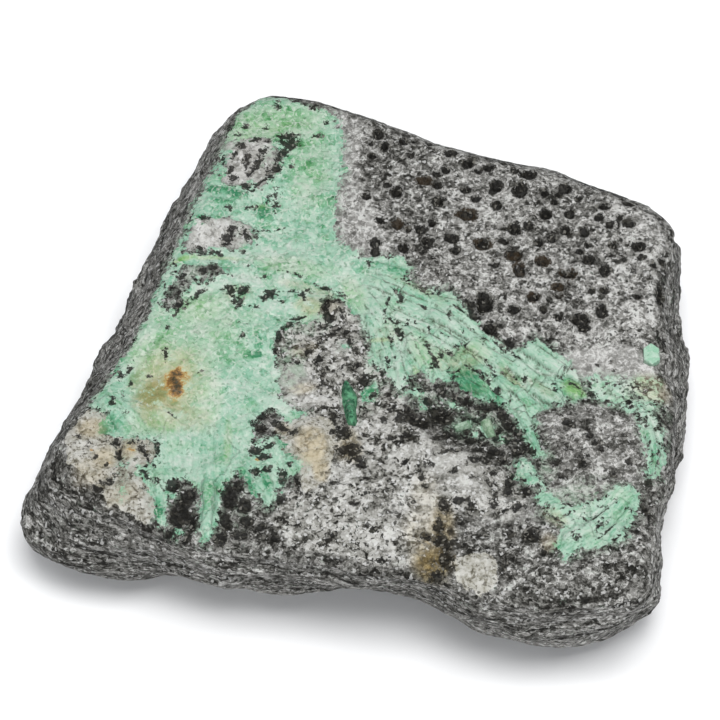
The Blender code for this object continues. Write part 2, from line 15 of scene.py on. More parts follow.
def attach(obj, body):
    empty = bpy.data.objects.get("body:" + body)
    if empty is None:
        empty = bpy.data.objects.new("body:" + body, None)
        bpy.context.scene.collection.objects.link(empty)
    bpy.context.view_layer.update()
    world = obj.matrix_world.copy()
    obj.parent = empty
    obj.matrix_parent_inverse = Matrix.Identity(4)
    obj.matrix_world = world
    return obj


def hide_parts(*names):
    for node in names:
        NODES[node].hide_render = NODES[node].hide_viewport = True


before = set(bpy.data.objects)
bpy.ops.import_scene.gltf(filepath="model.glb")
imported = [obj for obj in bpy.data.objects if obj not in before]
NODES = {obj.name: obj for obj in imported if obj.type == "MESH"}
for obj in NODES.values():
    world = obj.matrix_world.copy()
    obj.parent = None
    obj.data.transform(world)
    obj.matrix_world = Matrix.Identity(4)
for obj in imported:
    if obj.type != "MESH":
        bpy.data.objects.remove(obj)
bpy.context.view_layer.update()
CRYSTALS = sorted(name for name in NODES if name != "matrix")

MM = 0.001
PLAN_CENTRE = np.array((0.89, -1.02))
LOFT_CENTRE = np.array((3.0, -3.0))      # every section of the slab is seen whole from here
SKY = 60.0                               # a height above everything, where rays start

# ---- sizes of the meshes, mm
FACE_STEP = 0.30      # between the points of the slab's face
UNDER_STEP = 1.1                         # and of the face hidden under crystals
SIDE_TURNS = 870       # columns of the slab's side
SIDE_ROWS = 50
VEIN_STEP = 0.19
PATCH_STEP = 0.2
FELDSPAR_STEP = 0.22

# ---------------------------------------------------------------- drawn plan of the face
# The pitted field of grey schist, to the back and right.
FIELD = [
    (-1, 37.5), (-0.3, 34), (-0.2, 27), (-0.8, 22), (0.2, 16.4), (1.2, 13.2), (2.8, 11.4), (6.4, 10.8),
    (8, 6.6), (12.8, 5.8), (15.6, 1.4), (18.6, -2.4), (21.5, -2.4), (24, -1.8), (28.5, -3.4),
    (36, -2.6), (39.6, 0.5), (43, 10), (43, 17), (34, 25), (23, 30), (8, 36),
]
# The green body: the back block, the neck, the belt of prisms and the main lobe.
GREEN_BODY = [
    (-15.9, 36.2), (-15, 37.6), (-13, 38.9), (-10.2, 39.7), (-8.2, 38.4), (-4.6, 36.8), (-2, 34.6),
    (-1.3, 28), (-1.6, 24), (-2.4, 20), (-2.6, 16), (-1.2, 13.2), (0.2, 11.9), (1.6, 10.3), (4, 10.9),
    (6, 10.6), (7, 9.6), (7.3, 8.3), (6.5, 7), (7.5, 6.4), (9, 5.2), (10, 5), (12.4, 5.4), (14, 2.6),
    (16, -0.4), (18.4, -2.8), (20.5, -4.9), (21.2, -4.5), (23.2, -2.7), (25.4, -4.5), (27, -5.9),
    (27.8, -7.5), (29.6, -11.6), (29, -12.8), (27.4, -12.4), (26.6, -13.6), (24.6, -13.4),
    (22.7, -15.2), (23.3, -18.6), (24.2, -21.4), (23.1, -21.8), (21.2, -17.6), (20.2, -14.2), (18, -13),
    (15.4, -11.8), (12.4, -9.6), (10.4, -9.4), (8.2, -8.2), (6.6, -10.6), (6, -11.8), (4.6, -9.2),
    (2.2, -6), (1.8, -2.6), (0.6, 1), (-0.9, 3.6), (-3.4, 4.4), (-4.6, 1.6), (-8, -0.2), (-10, -3.4),
    (-9.8, -6), (-9.2, -12.6), (-6.4, -14.6), (-8.6, -15.6), (-10.4, -14), (-12, -15), (-12.4, -18.6),
    (-11.2, -18.8), (-9.8, -18), (-8.4, -20.4), (-6.6, -22.4), (-7.4, -24.6), (-9.4, -26.8),
    (-10.4, -29.6), (-11.6, -28.4), (-13.2, -26.6), (-14.7, -24.4), (-16, -26.6), (-16.8, -30.6),
    (-17.2, -33.4), (-18.5, -34.9), (-19.5, -33), (-19.1, -29.4), (-19.4, -26), (-22.4, -24.9),
    (-23.2, -28.6), (-23.4, -32), (-24.3, -31), (-25, -27.6), (-27.2, -24.2), (-25.4, -22.4),
    (-25.2, -19.4), (-28.4, -18.8), (-31.6, -18), (-31.4, -15.2), (-33.4, -13.4), (-32, -10.4),
    (-29.8, -6), (-28, -1.8), (-26.3, 3), (-24.6, 8), (-23.1, 13), (-21.8, 17.2), (-20.6, 21),
    (-19.2, 25), (-18, 29), (-16.8, 32.8),
]
RIGHT_BAND = [
    (29.8, -8.6), (33, -8.6), (36.8, -9.2), (38.6, -9), (38.7, -12), (38.2, -14.6), (39.2, -18),
    (39, -21), (38.4, -23), (37.2, -25), (36.2, -24.6), (36.9, -21.4), (36.2, -18.4), (35.4, -15.4),
    (33.4, -13.4), (30.6, -12.4),
]
FRONT_PATCH = [
    (23.2, -25.8), (24.4, -27.6), (26.2, -28.6), (28, -29.4), (30.4, -28.2), (32.4, -26.4), (34.2, -26),
    (35.4, -26.9), (35.6, -29), (34.4, -31.6), (33.6, -34), (31.6, -35), (30.4, -35.6), (28, -35.7),
    (26.2, -37), (24.8, -35.4), (25.2, -33.6), (26, -32.4), (24.6, -31.2), (23.2, -30), (22.6, -28),
]
RECESS_CRYSTAL = [(20, -21.9), (22.2, -22.5), (23, -24.9), (21.9, -26.1), (20.7, -25)]
# The white granular ground: quartz and feldspar grains with black mica between them.
WHITE_GROUND = [
    (-9.6, -1.2), (-6, 1.4), (-3.4, 3.8), (-0.8, 3.2), (0.8, 0.6), (2, -3), (2.8, -6.2), (4.6, -9),
    (6.2, -12), (6.6, -15.6), (9.6, -18.8), (13.4, -20.6), (17.6, -22.6), (20.6, -26.4), (21, -29.6),
    (20, -31), (17.8, -31.4), (14.6, -30.4), (12.4, -29.6), (11, -31.6), (9.4, -34.6), (8, -37.4),
    (4.4, -38.2), (0, -37.4), (-3.6, -36.4), (-7, -35.2), (-9.6, -32.8), (-9.8, -29.6), (-7.6, -26.2),
    (-6.4, -22.4), (-8, -20.8), (-9.6, -18.2), (-8.6, -15.8), (-6.4, -14.8), (-9, -12.8), (-9.8, -6),
]
BACK_MOTTLE = [
    (-16.6, 31), (-14.8, 32.4), (-12.4, 31.6), (-11, 30.4), (-10.4, 27), (-11, 24.6), (-12, 22.6),
    (-14.2, 22.8), (-17.6, 24.2), (-18.2, 26.8), (-17.4, 29.4),
]
BACK_WHITE = [
    (-20.8, 17.2), (-18.4, 17.9), (-15, 17.7), (-13.6, 16.4), (-13.2, 13.6), (-14.6, 12.1), (-18, 12.3),
    (-21.4, 11.9), (-22.2, 12.4), (-21.6, 15),
]
SCHIST_ISLAND = [
    (-22.3, 9.9), (-17.5, 9.3), (-16.2, 8.8), (-17.8, 7.4), (-20.2, 6.7), (-21.4, 5.2), (-22.6, 3.2),
    (-24.4, 2.2), (-25.3, 3), (-24.4, 5.6), (-23.2, 8.4),
]
CREAM_LEFT = [
    (-33.9, -14), (-30.8, -15.6), (-31.6, -17.9), (-28.6, -18.7), (-25.2, -19.4), (-25.2, -22.4),
    (-27, -24.3), (-25.2, -27), (-24.6, -29.6), (-25.4, -31.4), (-27.8, -30), (-30.4, -28.6),
    (-32.6, -25.8), (-35.6, -22.6), (-36.3, -19.4), (-35.4, -16.4),
]
CREAM_MIDDLE = [
    (-9.2, -19.2), (-8.6, -16.8), (-6, -15.2), (-3, -15.8), (-2.3, -18), (-2.4, -21.6), (-3.6, -24.6),
    (-5.2, -27.4), (-6.6, -26.8), (-7, -23), (-8.4, -21.4),
]
CREAM_NODULE = [
    (12.4, -37.2), (14, -36.2), (16, -36.1), (17.6, -37.4), (17.8, -39.6), (17, -41.2), (15.2, -41.6),
    (13, -40.6), (12.2, -39),
]
BOSS_GROUND = [
    (23, -18), (25, -14.6), (28, -13.4), (31.4, -13.2), (34.4, -14.6), (36, -18), (36.8, -21.6),
    (36, -24.8), (33.4, -26.4), (30.4, -28), (27.4, -28.4), (24.6, -26.6), (23.4, -24),
]
# The recess below the belt, whose ground is darkened with painted shade.
RECESS_GROUND = [
    (7.4, -9.2), (10.6, -9.6), (13.6, -10.6), (16.6, -12.4), (19.2, -13.8), (21, -16.6), (23, -21.4),
    (23.6, -25.4), (22.2, -27), (19.6, -24.6), (16, -21), (11.6, -20), (7.6, -18.6), (6.4, -15.2),
]
RIGHT_LIGHT = [
    (26.8, -5.4), (29.6, -4), (33.6, -4), (38.4, -4.8), (39, -8), (36.6, -9.4), (31, -9.2),
    (28.6, -8.4),
]
# The light-grey strip between the green back block and the pitted field.
LIGHT_BAND = [
    (-5, 37.2), (-0.6, 36.4), (1.4, 34.6), (1.3, 30), (1, 26), (1.7, 21), (3, 17), (4.4, 14),
    (5.6, 11.8), (3.2, 9.8), (0, 10.4), (-3.2, 13.2), (-4.4, 17), (-3.8, 22), (-3.2, 28), (-3.8, 33.4),
]

# Dark mica, with some thin strokes of painted shade along the belt: x, y, half length, half width,
# heading in degrees.
MICA_AND_PAINTED_SHADE = [
    # the back block
    (-10.4, 37.8, 0.8, 0.35, 88), (-14.5, 34, 0.8, 0.5, 20), (-15.5, 32.5, 0.7, 0.4, 70),
    (-12, 34, 0.5, 0.35, 0), (-3.7, 34.7, 0.3, 0.25, 0), (-2.8, 34.7, 0.3, 0.2, 0),
    (-4.8, 32.2, 0.5, 0.35, 10), (-8.9, 31.9, 1.3, 0.8, 14), (-8, 31.3, 0.9, 0.7, -40),
    (-9.6, 31, 0.6, 0.5, 70), (-9.5, 28.6, 1, 0.7, 62), (-9.2, 29.4, 0.7, 0.4, 10),
    (-10.2, 27.6, 0.5, 0.4, 40), (-8.3, 26.5, 0.4, 0.3, 0), (-16, 28.6, 1, 0.4, 66),
    (-16.4, 26, 1.1, 0.45, 78), (-15.8, 24.5, 0.7, 0.4, 40), (-14.2, 27.5, 1.2, 0.45, 84),
    (-12.7, 27.4, 1.3, 0.5, 74), (-13.8, 25.5, 0.8, 0.4, 50), (-11.5, 31, 0.7, 0.4, 30),
    (-15, 29.8, 0.6, 0.4, 60), (-12.2, 29, 0.6, 0.4, 30), (-14.2, 23.2, 0.8, 0.5, 20),
    (-8.6, 30.2, 1.2, 0.8, 70), (-10.4, 26, 0.6, 0.7, 0), (-17.4, 27.4, 0.4, 0.8, 10),
    (-13.2, 31.2, 0.8, 0.3, 20), (-11.4, 25.6, 0.5, 1, -20), (-12.6, 23.5, 1.9, 0.22, 47),
    (-11, 24.7, 0.5, 0.4, 20), (-10.3, 21.4, 1.4, 0.33, 90), (-11.3, 21.5, 0.4, 0.25, 60),
    (-13, 20, 0.6, 0.25, 10), (-19.6, 17.3, 0.6, 0.35, 10), (-16.8, 19.5, 0.5, 0.3, 0),
    (-16.6, 14.6, 1, 0.7, 78), (-15.9, 15.8, 0.7, 0.45, 30), (-16.8, 13.4, 0.5, 0.4, 0),
    (-14.3, 15.3, 0.5, 0.9, 10), (-20.2, 12.6, 0.85, 0.4, 8), (-19.6, 11.65, 1.3, 0.18, -4),
    (-17.7, 11.5, 0.8, 0.3, -28), (-18.6, 12, 0.9, 0.2, 4),
    # the middle of the vein
    (-20.7, 4.3, 2.6, 0.35, 50), (-22.6, 3, 1, 0.5, 58), (-19.6, 8.5, 0.5, 0.4, 0),
    (-18.4, 9, 0.6, 0.35, 20), (-22.4, 7.4, 0.5, 0.4, 60), (-15.9, 5.2, 1, 0.6, -34),
    (-15.4, 4, 1.1, 0.6, -66), (-14.6, 4.9, 0.9, 0.5, 50), (-14.8, 3.2, 0.7, 0.4, 60),
    (-16.6, 5.9, 0.5, 0.3, 0), (-11.5, 4.4, 0.8, 0.6, 40), (-10.7, 5.1, 0.9, 0.45, 6),
    (-10.5, 4.2, 0.7, 0.4, -50), (-9.8, 3.7, 0.6, 0.25, -20), (-12.6, 2.7, 0.5, 0.35, 0),
    (-7.6, 5.1, 0.9, 0.2, -14), (-6.8, 4.7, 0.7, 0.3, 60), (-6.4, 4, 0.7, 0.3, -60),
    (-5.4, 5.3, 0.3, 0.4, 0), (-4.2, 6.1, 0.8, 0.2, -20), (-2.1, 5, 0.8, 0.3, -24),
    (-7.7, 7.8, 1.2, 0.13, -22), (-13.8, 9.4, 0.5, 0.16, 0), (-12, 7.6, 0.4, 0.2, 0),
    (-2.4, 20.8, 0.25, 0.2, 0), (-12.5, 16, 0.25, 0.2, 0), (-10.8, 16.2, 1.8, 0.09, 5),
    (-10.5, 0.4, 0.15, 0.4, 80), (-13.8, -0.2, 0.15, 0.4, 80), (-14.4, -2.2, 0.35, 0.2, 80),
    # right of the lobe
    (-7.2, 1, 0.9, 0.5, 30), (-8.4, -0.4, 0.5, 0.5, 0), (-9.6, -2.6, 1.1, 0.45, 70),
    (-9.2, -1.2, 0.5, 0.4, 40), (-9.9, -4.4, 0.5, 0.4, 20), (-3.6, 2.4, 0.6, 0.9, 0),
    (-2.9, 1, 0.8, 0.8, 0), (-4, -0.4, 0.8, 0.4, 40), (-2.2, -0.6, 1, 0.6, 30),
    (-1.2, 0.6, 0.6, 0.5, 0), (-1, -1.4, 0.9, 0.5, 60), (-2.6, -1.8, 0.7, 0.4, -10),
    (-1.6, 2.2, 0.4, 0.4, 0), (-0.4, -2.8, 0.4, 0.6, 0), (0.2, -4.4, 0.5, 0.8, 20),
    (-4.2, -3, 0.5, 0.4, 0), (-4.4, -5.8, 0.9, 0.5, 80), (-5.8, -4.8, 0.5, 0.35, 40),
    (-4, -8.6, 2, 0.3, 86), (-4.2, -10, 0.5, 0.45, 0), (-2.6, -7.7, 1.6, 0.2, 10),
    (-7.2, -6.2, 0.4, 0.3, 0), (-0.6, -6.6, 0.5, 0.25, 40), (0.6, -6.8, 0.8, 0.3, 40),
    # the dark prism's surroundings
    (1.3, -9.3, 0.75, 1.15, 0), (2.3, -8.6, 0.7, 0.5, 0), (1, -10.4, 0.5, 0.5, 20),
    (3.6, -8.4, 1, 0.28, -70), (4.4, -6.6, 0.4, 0.7, 10), (3.9, -15.4, 0.7, 0.6, 20),
    (4.8, -14, 0.6, 0.45, 40), (5.6, -15.8, 0.5, 0.5, 0), (3, -13, 0.5, 0.3, 30),
    (4.7, -18.6, 0.7, 0.5, 20), (7, -18.4, 0.8, 0.6, -20), (1.6, -17.8, 0.5, 0.35, 0),
    (2.6, -11.6, 0.5, 0.3, 20), (-2.6, -17.6, 0.4, 0.4, 0), (-1.6, -20.6, 0.9, 0.7, 60),
    (-0.6, -22, 0.6, 0.4, 0), (0.8, -20.4, 0.8, 0.35, 30), (-2.6, -25.6, 0.5, 0.35, 40),
    # left edge of the lobe and the rust's surroundings
    (-26.2, -8.5, 0.3, 0.2, 0), (-24, -5.5, 0.28, 0.5, 0), (-19.5, -8, 0.35, 0.25, 0),
    (-28.6, -7.4, 1, 0.3, 68), (-29.8, -8.3, 0.4, 0.7, 20), (-28.4, -9.6, 0.2, 0.3, 0),
    (-29.2, -12, 0.25, 0.4, 20), (-28.8, -14.6, 0.3, 0.25, 0), (-31.9, -10, 0.6, 0.25, 70),
    (-31.3, -5.4, 0.8, 0.3, 66), (-30.6, -13.2, 0.3, 0.5, 10), (-22.8, -14.8, 0.6, 0.12, -30),
    (-24, -0.8, 0.25, 0.3, 0),
    # the feldspar
    (-29.4, -21, 0.45, 1.8, 4), (-29.7, -19.2, 0.7, 0.6, 0), (-26.3, -21, 1.6, 0.45, -58),
    (-27, -19.6, 0.9, 0.3, 4), (-24.6, -20.2, 0.3, 1.1, 8), (-31.6, -26.2, 0.9, 0.7, 30),
    (-30.5, -25.6, 0.6, 0.5, 0), (-32.6, -21.6, 0.5, 0.3, 30), (-33.4, -20, 0.5, 0.3, 60),
    (-29.6, -24.4, 0.4, 0.5, 0), (-26.2, -26.6, 0.3, 0.3, 0), (-25.2, -25.2, 1.6, 0.3, -42),
    (-31, -23, 0.3, 0.3, 0), (-34.6, -18.4, 0.4, 0.25, 40), (-27.8, -30.6, 0.9, 0.3, -20),
    # between the fingers
    (-22.6, -26, 0.8, 0.9, 0), (-20.8, -28, 1, 1.6, 4), (-21.6, -30.6, 1.3, 1.8, 0),
    (-19.9, -31.6, 0.5, 1.6, -6), (-20, -27.2, 0.5, 1.2, 0), (-22.6, -33.2, 0.9, 0.8, 0),
    (-20.6, -34, 0.9, 0.8, 0), (-16.6, -34, 1.2, 0.8, 20), (-15.8, -31.4, 0.7, 1.4, 10),
    (-15.5, -27.6, 1.1, 2, 8), (-14.4, -26, 0.7, 1.2, 8), (-13.6, -29, 1, 1.2, 20),
    (-13.2, -31.4, 1, 0.9, 0), (-14, -33.6, 1.2, 0.7, 0), (-11.6, -32.2, 0.8, 0.6, 0),
    (-9.7, -34, 0.8, 0.5, -10), (-12.4, -24, 0.4, 0.9, 20), (-10.6, -23.6, 0.7, 0.5, 20),
    (-11.4, -15, 0.8, 0.7, 30), (-11.7, -17, 0.7, 0.8, 0), (-12.6, -16.2, 0.5, 0.4, 0),
    (-12.2, -20.4, 1, 0.9, 20), (-11.2, -21.6, 0.8, 0.6, 0), (-10.6, -19.8, 0.6, 0.5, 0),
    (-8.8, -16.8, 1, 0.6, -40), (-10, -15.8, 0.5, 0.4, 0), (-7.4, -18, 0.5, 0.5, 0),
    (-8.9, -24.4, 0.7, 1.1, 10), (-7.1, -25.4, 0.35, 1.3, 4), (-9.2, -28.2, 0.7, 0.5, 0),
    (-8, -22.6, 0.3, 0.5, 0), (-1.4, -17.6, 1.3, 0.8, -60), (-0.2, -20.4, 1.6, 0.9, -72),
    (0.9, -22.4, 1.3, 0.7, -60), (7.6, -15.8, 2, 1, -20), (6.4, -14.4, 0.9, 0.6, 0),
    (19.3, -25.6, 0.9, 0.9, 0), (17.8, -20.2, 1.1, 0.8, 0), (12.9, -20.4, 0.9, 0.35, 10),
    (17.6, -25, 0.2, 1.4, 20),
    # the front's white ground
    (-2.5, -33.5, 0.8, 0.4, 10), (0.2, -28.8, 0.5, 0.4, 0), (2.7, -32.6, 0.5, 0.4, 30),
    (3.8, -37.3, 0.7, 0.35, 0), (-0.8, -37, 0.6, 0.3, 0), (5.6, -30.6, 0.4, 0.3, 0),
    (11.2, -29.2, 0.7, 1.2, 10), (10.6, -32.2, 0.6, 1.6, 4), (11.4, -35.2, 0.5, 1, -10),
    (9, -33.6, 0.6, 0.5, 0), (13.2, -28.2, 1.3, 0.4, 20), (14.6, -28.8, 0.4, 0.8, 20),
    (17.5, -27.6, 0.35, 1.2, 0), (21.5, -27, 0.6, 0.8, 20), (15, -42.6, 1.1, 0.35, 4),
    (22.5, -34, 0.7, 0.5, 20), (23.3, -36, 0.5, 0.5, 0), (18.4, -38.4, 0.4, 1.2, -8),
    (11.8, -38.4, 0.35, 0.9, 0), (10.2, -39.6, 1, 0.8, 0), (11.3, -37, 0.9, 1.4, -20),
    (10.7, -34.2, 0.9, 0.9, 0), (12.8, -34.8, 1, 0.5, -20), (19.4, -33.6, 0.6, 0.4, 20),
    (15.6, -33.4, 0.5, 0.4, 0), (6.4, -22.4, 0.6, 0.5, 0), (9.4, -22.6, 0.6, 0.4, 20),
    (12.6, -23.6, 0.7, 0.5, 40), (9, -26.2, 0.4, 0.5, 0), (4.6, -25.4, 0.4, 0.3, 0),
    (15.2, -24.6, 0.5, 0.4, 0), (18.6, -29.8, 0.9, 0.5, 20), (19.2, -27.2, 0.8, 0.7, 0),
    (17.2, -28.6, 0.4, 0.8, 20), (20.4, -29.4, 0.6, 0.6, 0), (22, -33.4, 1.2, 0.8, 20),
    (11, -20.8, 1.6, 0.3, 20), (8.4, -24.2, 0.4, 1.2, 10), (16.9, -25.6, 0.35, 0.9, 20),
    (13.4, -31.6, 0.5, 0.4, 0), (7.4, -28.6, 0.35, 0.4, 0),
    # the belt: black mica clots, and thin strokes of painted shade along the step up to the pitted
    # field and in the gaps between prisms
    (1.9, 9.8, 0.25, 0.6, 10), (2, 10.2, 0.4, 0.2, -30), (6.5, 6.6, 0.6, 0.22, -20),
    (7.6, 5.9, 0.9, 0.16, -32), (8.8, 5.1, 0.7, 0.16, -36), (10.2, 4.75, 0.9, 0.14, 0),
    (11.8, 5.15, 0.9, 0.2, 18), (12.6, 5.5, 0.3, 0.3, 0), (6, 4, 0.4, 0.45, 20),
    (5.3, 4.9, 0.7, 0.12, -52), (4.4, 3.2, 0.9, 0.16, 64), (3.9, 1.7, 0.6, 0.3, 74),
    (3.8, 1.1, 0.35, 0.25, 0), (3.9, 0.2, 0.14, 0.6, 0), (5.1, 2, 0.25, 0.15, 0),
    (5.2, 0.2, 0.7, 0.2, -24), (6.5, -0.4, 0.9, 0.2, -4), (7.3, 0.3, 0.3, 0.15, -30),
    (8, -0.1, 0.38, 0.26, -20), (5.7, -1.6, 0.45, 0.95, 10), (5.9, -2.4, 0.35, 0.5, 0),
    (4.8, -2.9, 0.35, 0.8, 4), (4.9, -1.9, 0.25, 0.2, 0), (6.5, -3.6, 0.25, 0.3, 0),
    (9.7, -1.3, 0.2, 0.45, 10), (12.1, 1, 0.32, 0.42, 20), (12.3, 0.3, 0.15, 0.4, 20),
    (9, 2.6, 0.5, 0.15, -36), (13, 2.3, 0.7, 0.13, -44), (14.1, 1.4, 0.9, 0.15, -40),
    (14.6, 3.4, 0.5, 0.4, 0), (15.6, 2.6, 1, 1, 0), (15.8, 1.2, 0.9, 1, -20),
    (15.2, 0.6, 0.5, 0.4, -30), (16.6, 0.9, 0.6, 0.4, 0), (15.2, -1.3, 0.25, 0.15, -20),
    (14, -2.1, 0.13, 0.4, 0), (13.9, -4, 0.45, 0.28, 20), (13.2, -4.1, 0.35, 0.12, 0),
    (12.2, -5.2, 0.4, 0.16, -30), (9.3, -4, 0.25, 0.3, 0), (9.7, -4.6, 0.5, 0.16, -50),
    (10, -5.3, 0.25, 0.3, 0), (10.4, -6.4, 0.3, 0.75, 6), (10.4, -7.3, 0.4, 0.4, 0),
    (11.2, -5.7, 0.18, 0.28, 0), (9.6, -7.7, 0.5, 0.16, -20), (12, -8, 0.2, 0.4, 0),
    (11.6, -2.4, 0.9, 0.08, -40), (10.8, -0.6, 0.7, 0.06, -44), (8.6, -2.4, 0.1, 0.25, 0),
    (2.9, -7.4, 1.1, 0.14, -62), (3.6, -8.6, 0.6, 0.12, -40), (5.3, -6.7, 0.09, 0.7, 0),
    (17.4, -1.5, 0.6, 0.4, -30), (18.4, -2.2, 0.4, 0.3, 0), (19.9, -2.9, 0.8, 0.7, -10),
    (20.3, -3.6, 0.5, 0.45, 0), (18.6, -3.8, 0.9, 0.2, -42), (19.6, -4.6, 0.6, 0.2, -38),
    (20.4, -5.1, 0.8, 0.22, -32), (16.6, -2.9, 0.12, 0.6, -10), (16.5, -3.9, 0.1, 0.4, 14),
    (17.3, -7, 0.5, 0.22, -50), (17.9, -7.7, 0.5, 0.2, -40), (17.9, -8.5, 0.35, 0.5, -20),
    (19.5, -8.9, 1, 0.12, -50), (20.7, -8.8, 1.2, 0.12, -44), (21.6, -9.6, 0.22, 0.6, -10),
    (21.3, -10.5, 0.12, 0.5, -10), (16.5, -9.2, 0.5, 0.25, -44), (17.3, -9.9, 0.7, 0.28, -50),
    (18.1, -11.1, 0.45, 0.6, 20), (15, -7.7, 1, 0.1, -36), (16, -8.4, 0.5, 0.14, -36),
    (23.9, -7.8, 0.2, 0.14, 0), (26.9, -8.2, 0.14, 0.3, 0), (25.5, -10.2, 0.3, 0.16, -20),
    (25.7, -11, 0.4, 0.18, 10), (28, -10.3, 1.1, 0.12, -38), (30.2, -11.7, 0.5, 0.28, -40),
    (26.6, -9.4, 0.6, 0.1, -30), (19.8, -12.6, 0.12, 0.7, -10), (22.6, -17, 0.2, 0.35, 0),
    (15.6, -5.9, 0.2, 0.1, -30), (12.9, -9, 0.2, 0.6, -30), (13, -8.2, 0.4, 0.14, 30),
    # the recess
    (11, -14.6, 1.7, 1.4, -20), (9.2, -10.6, 0.7, 0.4, -10), (10.8, -10.1, 0.7, 0.4, 20),
    (11.2, -11, 0.9, 0.35, -20), (12.8, -11.6, 0.8, 0.4, -20), (14.4, -12.3, 0.8, 0.4, -20),
    (16, -13, 0.7, 0.4, -30), (16.9, -13.6, 0.6, 0.5, -30), (18.1, -13.4, 0.6, 0.9, 30),
    (18.9, -14.8, 0.7, 0.9, 30), (19.6, -16.2, 0.7, 1, 20), (20.6, -17.4, 0.8, 0.8, 20),
    (20.6, -18.6, 0.9, 0.6, 0), (21.4, -19.4, 0.5, 0.8, 30), (22.3, -20.4, 0.5, 0.8, 30),
    (20.9, -20.6, 1.1, 0.5, 10), (20.4, -21, 0.5, 0.4, 0), (23.1, -22.6, 0.3, 1.2, -8),
    (14.2, -14.9, 0.6, 0.5, 0), (15.4, -15.2, 0.6, 0.4, -30), (16.4, -14.6, 0.4, 0.5, 0),
    (18.3, -16.9, 0.6, 0.5, 0), (18, -18.2, 0.5, 0.6, 0), (19.3, -18.4, 0.4, 0.9, 0),
    (12, -18, 1.3, 0.6, 10), (14.8, -18.6, 0.8, 0.6, 0), (16.4, -19.2, 0.7, 0.4, 20),
    (14.2, -17, 0.5, 0.6, 0), (9.4, -12.6, 0.7, 0.6, 0), (9, -16.4, 0.7, 0.8, 0),
    (10.4, -18.6, 0.5, 0.4, 0), (12.6, -16.6, 0.5, 0.4, 0), (16.8, -22, 0.6, 0.4, 0),
    (7.9, -13.4, 0.3, 0.9, 0), (15.2, -21.8, 0.7, 0.5, 0), (18.6, -21.8, 0.5, 0.4, 0),
    (19.8, -22, 0.3, 0.3, 0), (19.8, -24.3, 0.35, 0.3, 0), (17.4, -23.6, 0.5, 0.3, -20),
    (14.2, -22.4, 0.4, 0.3, 0),
    # the boss
    (26.1, -14.9, 0.35, 0.28, 0), (27.1, -16.4, 0.6, 0.75, 20), (27.8, -17.2, 0.6, 0.2, -20),
    (29.2, -17.7, 0.6, 0.35, -30), (29.8, -18.8, 0.7, 0.5, -60), (30.3, -19.8, 0.6, 0.5, -50),
    (31, -20.7, 0.6, 0.4, -20), (26.6, -20.5, 0.45, 0.35, 0), (28.6, -22.4, 0.5, 0.7, 0),
    (29.4, -21.6, 0.35, 0.4, 0), (28.9, -23.2, 0.7, 0.4, 0), (25.2, -22.6, 0.6, 0.5, 0),
    (24.4, -22, 0.4, 0.3, 0), (22.8, -16.9, 0.25, 0.35, 0), (23.6, -18.8, 0.3, 0.5, 0),
    (25.1, -16.8, 0.15, 0.15, 0), (33.8, -18.4, 0.4, 0.35, 0), (32.4, -24.4, 0.5, 0.4, 0),
    (26, -24.6, 0.7, 0.4, 0), (34.6, -22.6, 0.3, 0.5, 0), (24.2, -20, 0.25, 0.3, 0),
    # right side of the face
    (31.3, -7, 0.35, 0.25, 0), (33, -6.5, 0.3, 0.22, 0), (33.2, -7.8, 0.3, 0.2, 0),
    (38.9, -15.7, 1.3, 0.28, -34), (36.8, -25.5, 0.4, 0.8, 10), (36.2, -29.5, 0.5, 1.3, 6),
    (24.8, -30.9, 1.3, 0.15, -44), (26.6, -30.6, 0.7, 0.12, 40), (35.2, -12.6, 0.3, 0.3, 0),
    (31.4, -33.2, 1.2, 0.1, 44), (30, -31, 1.4, 0.1, 44),
]

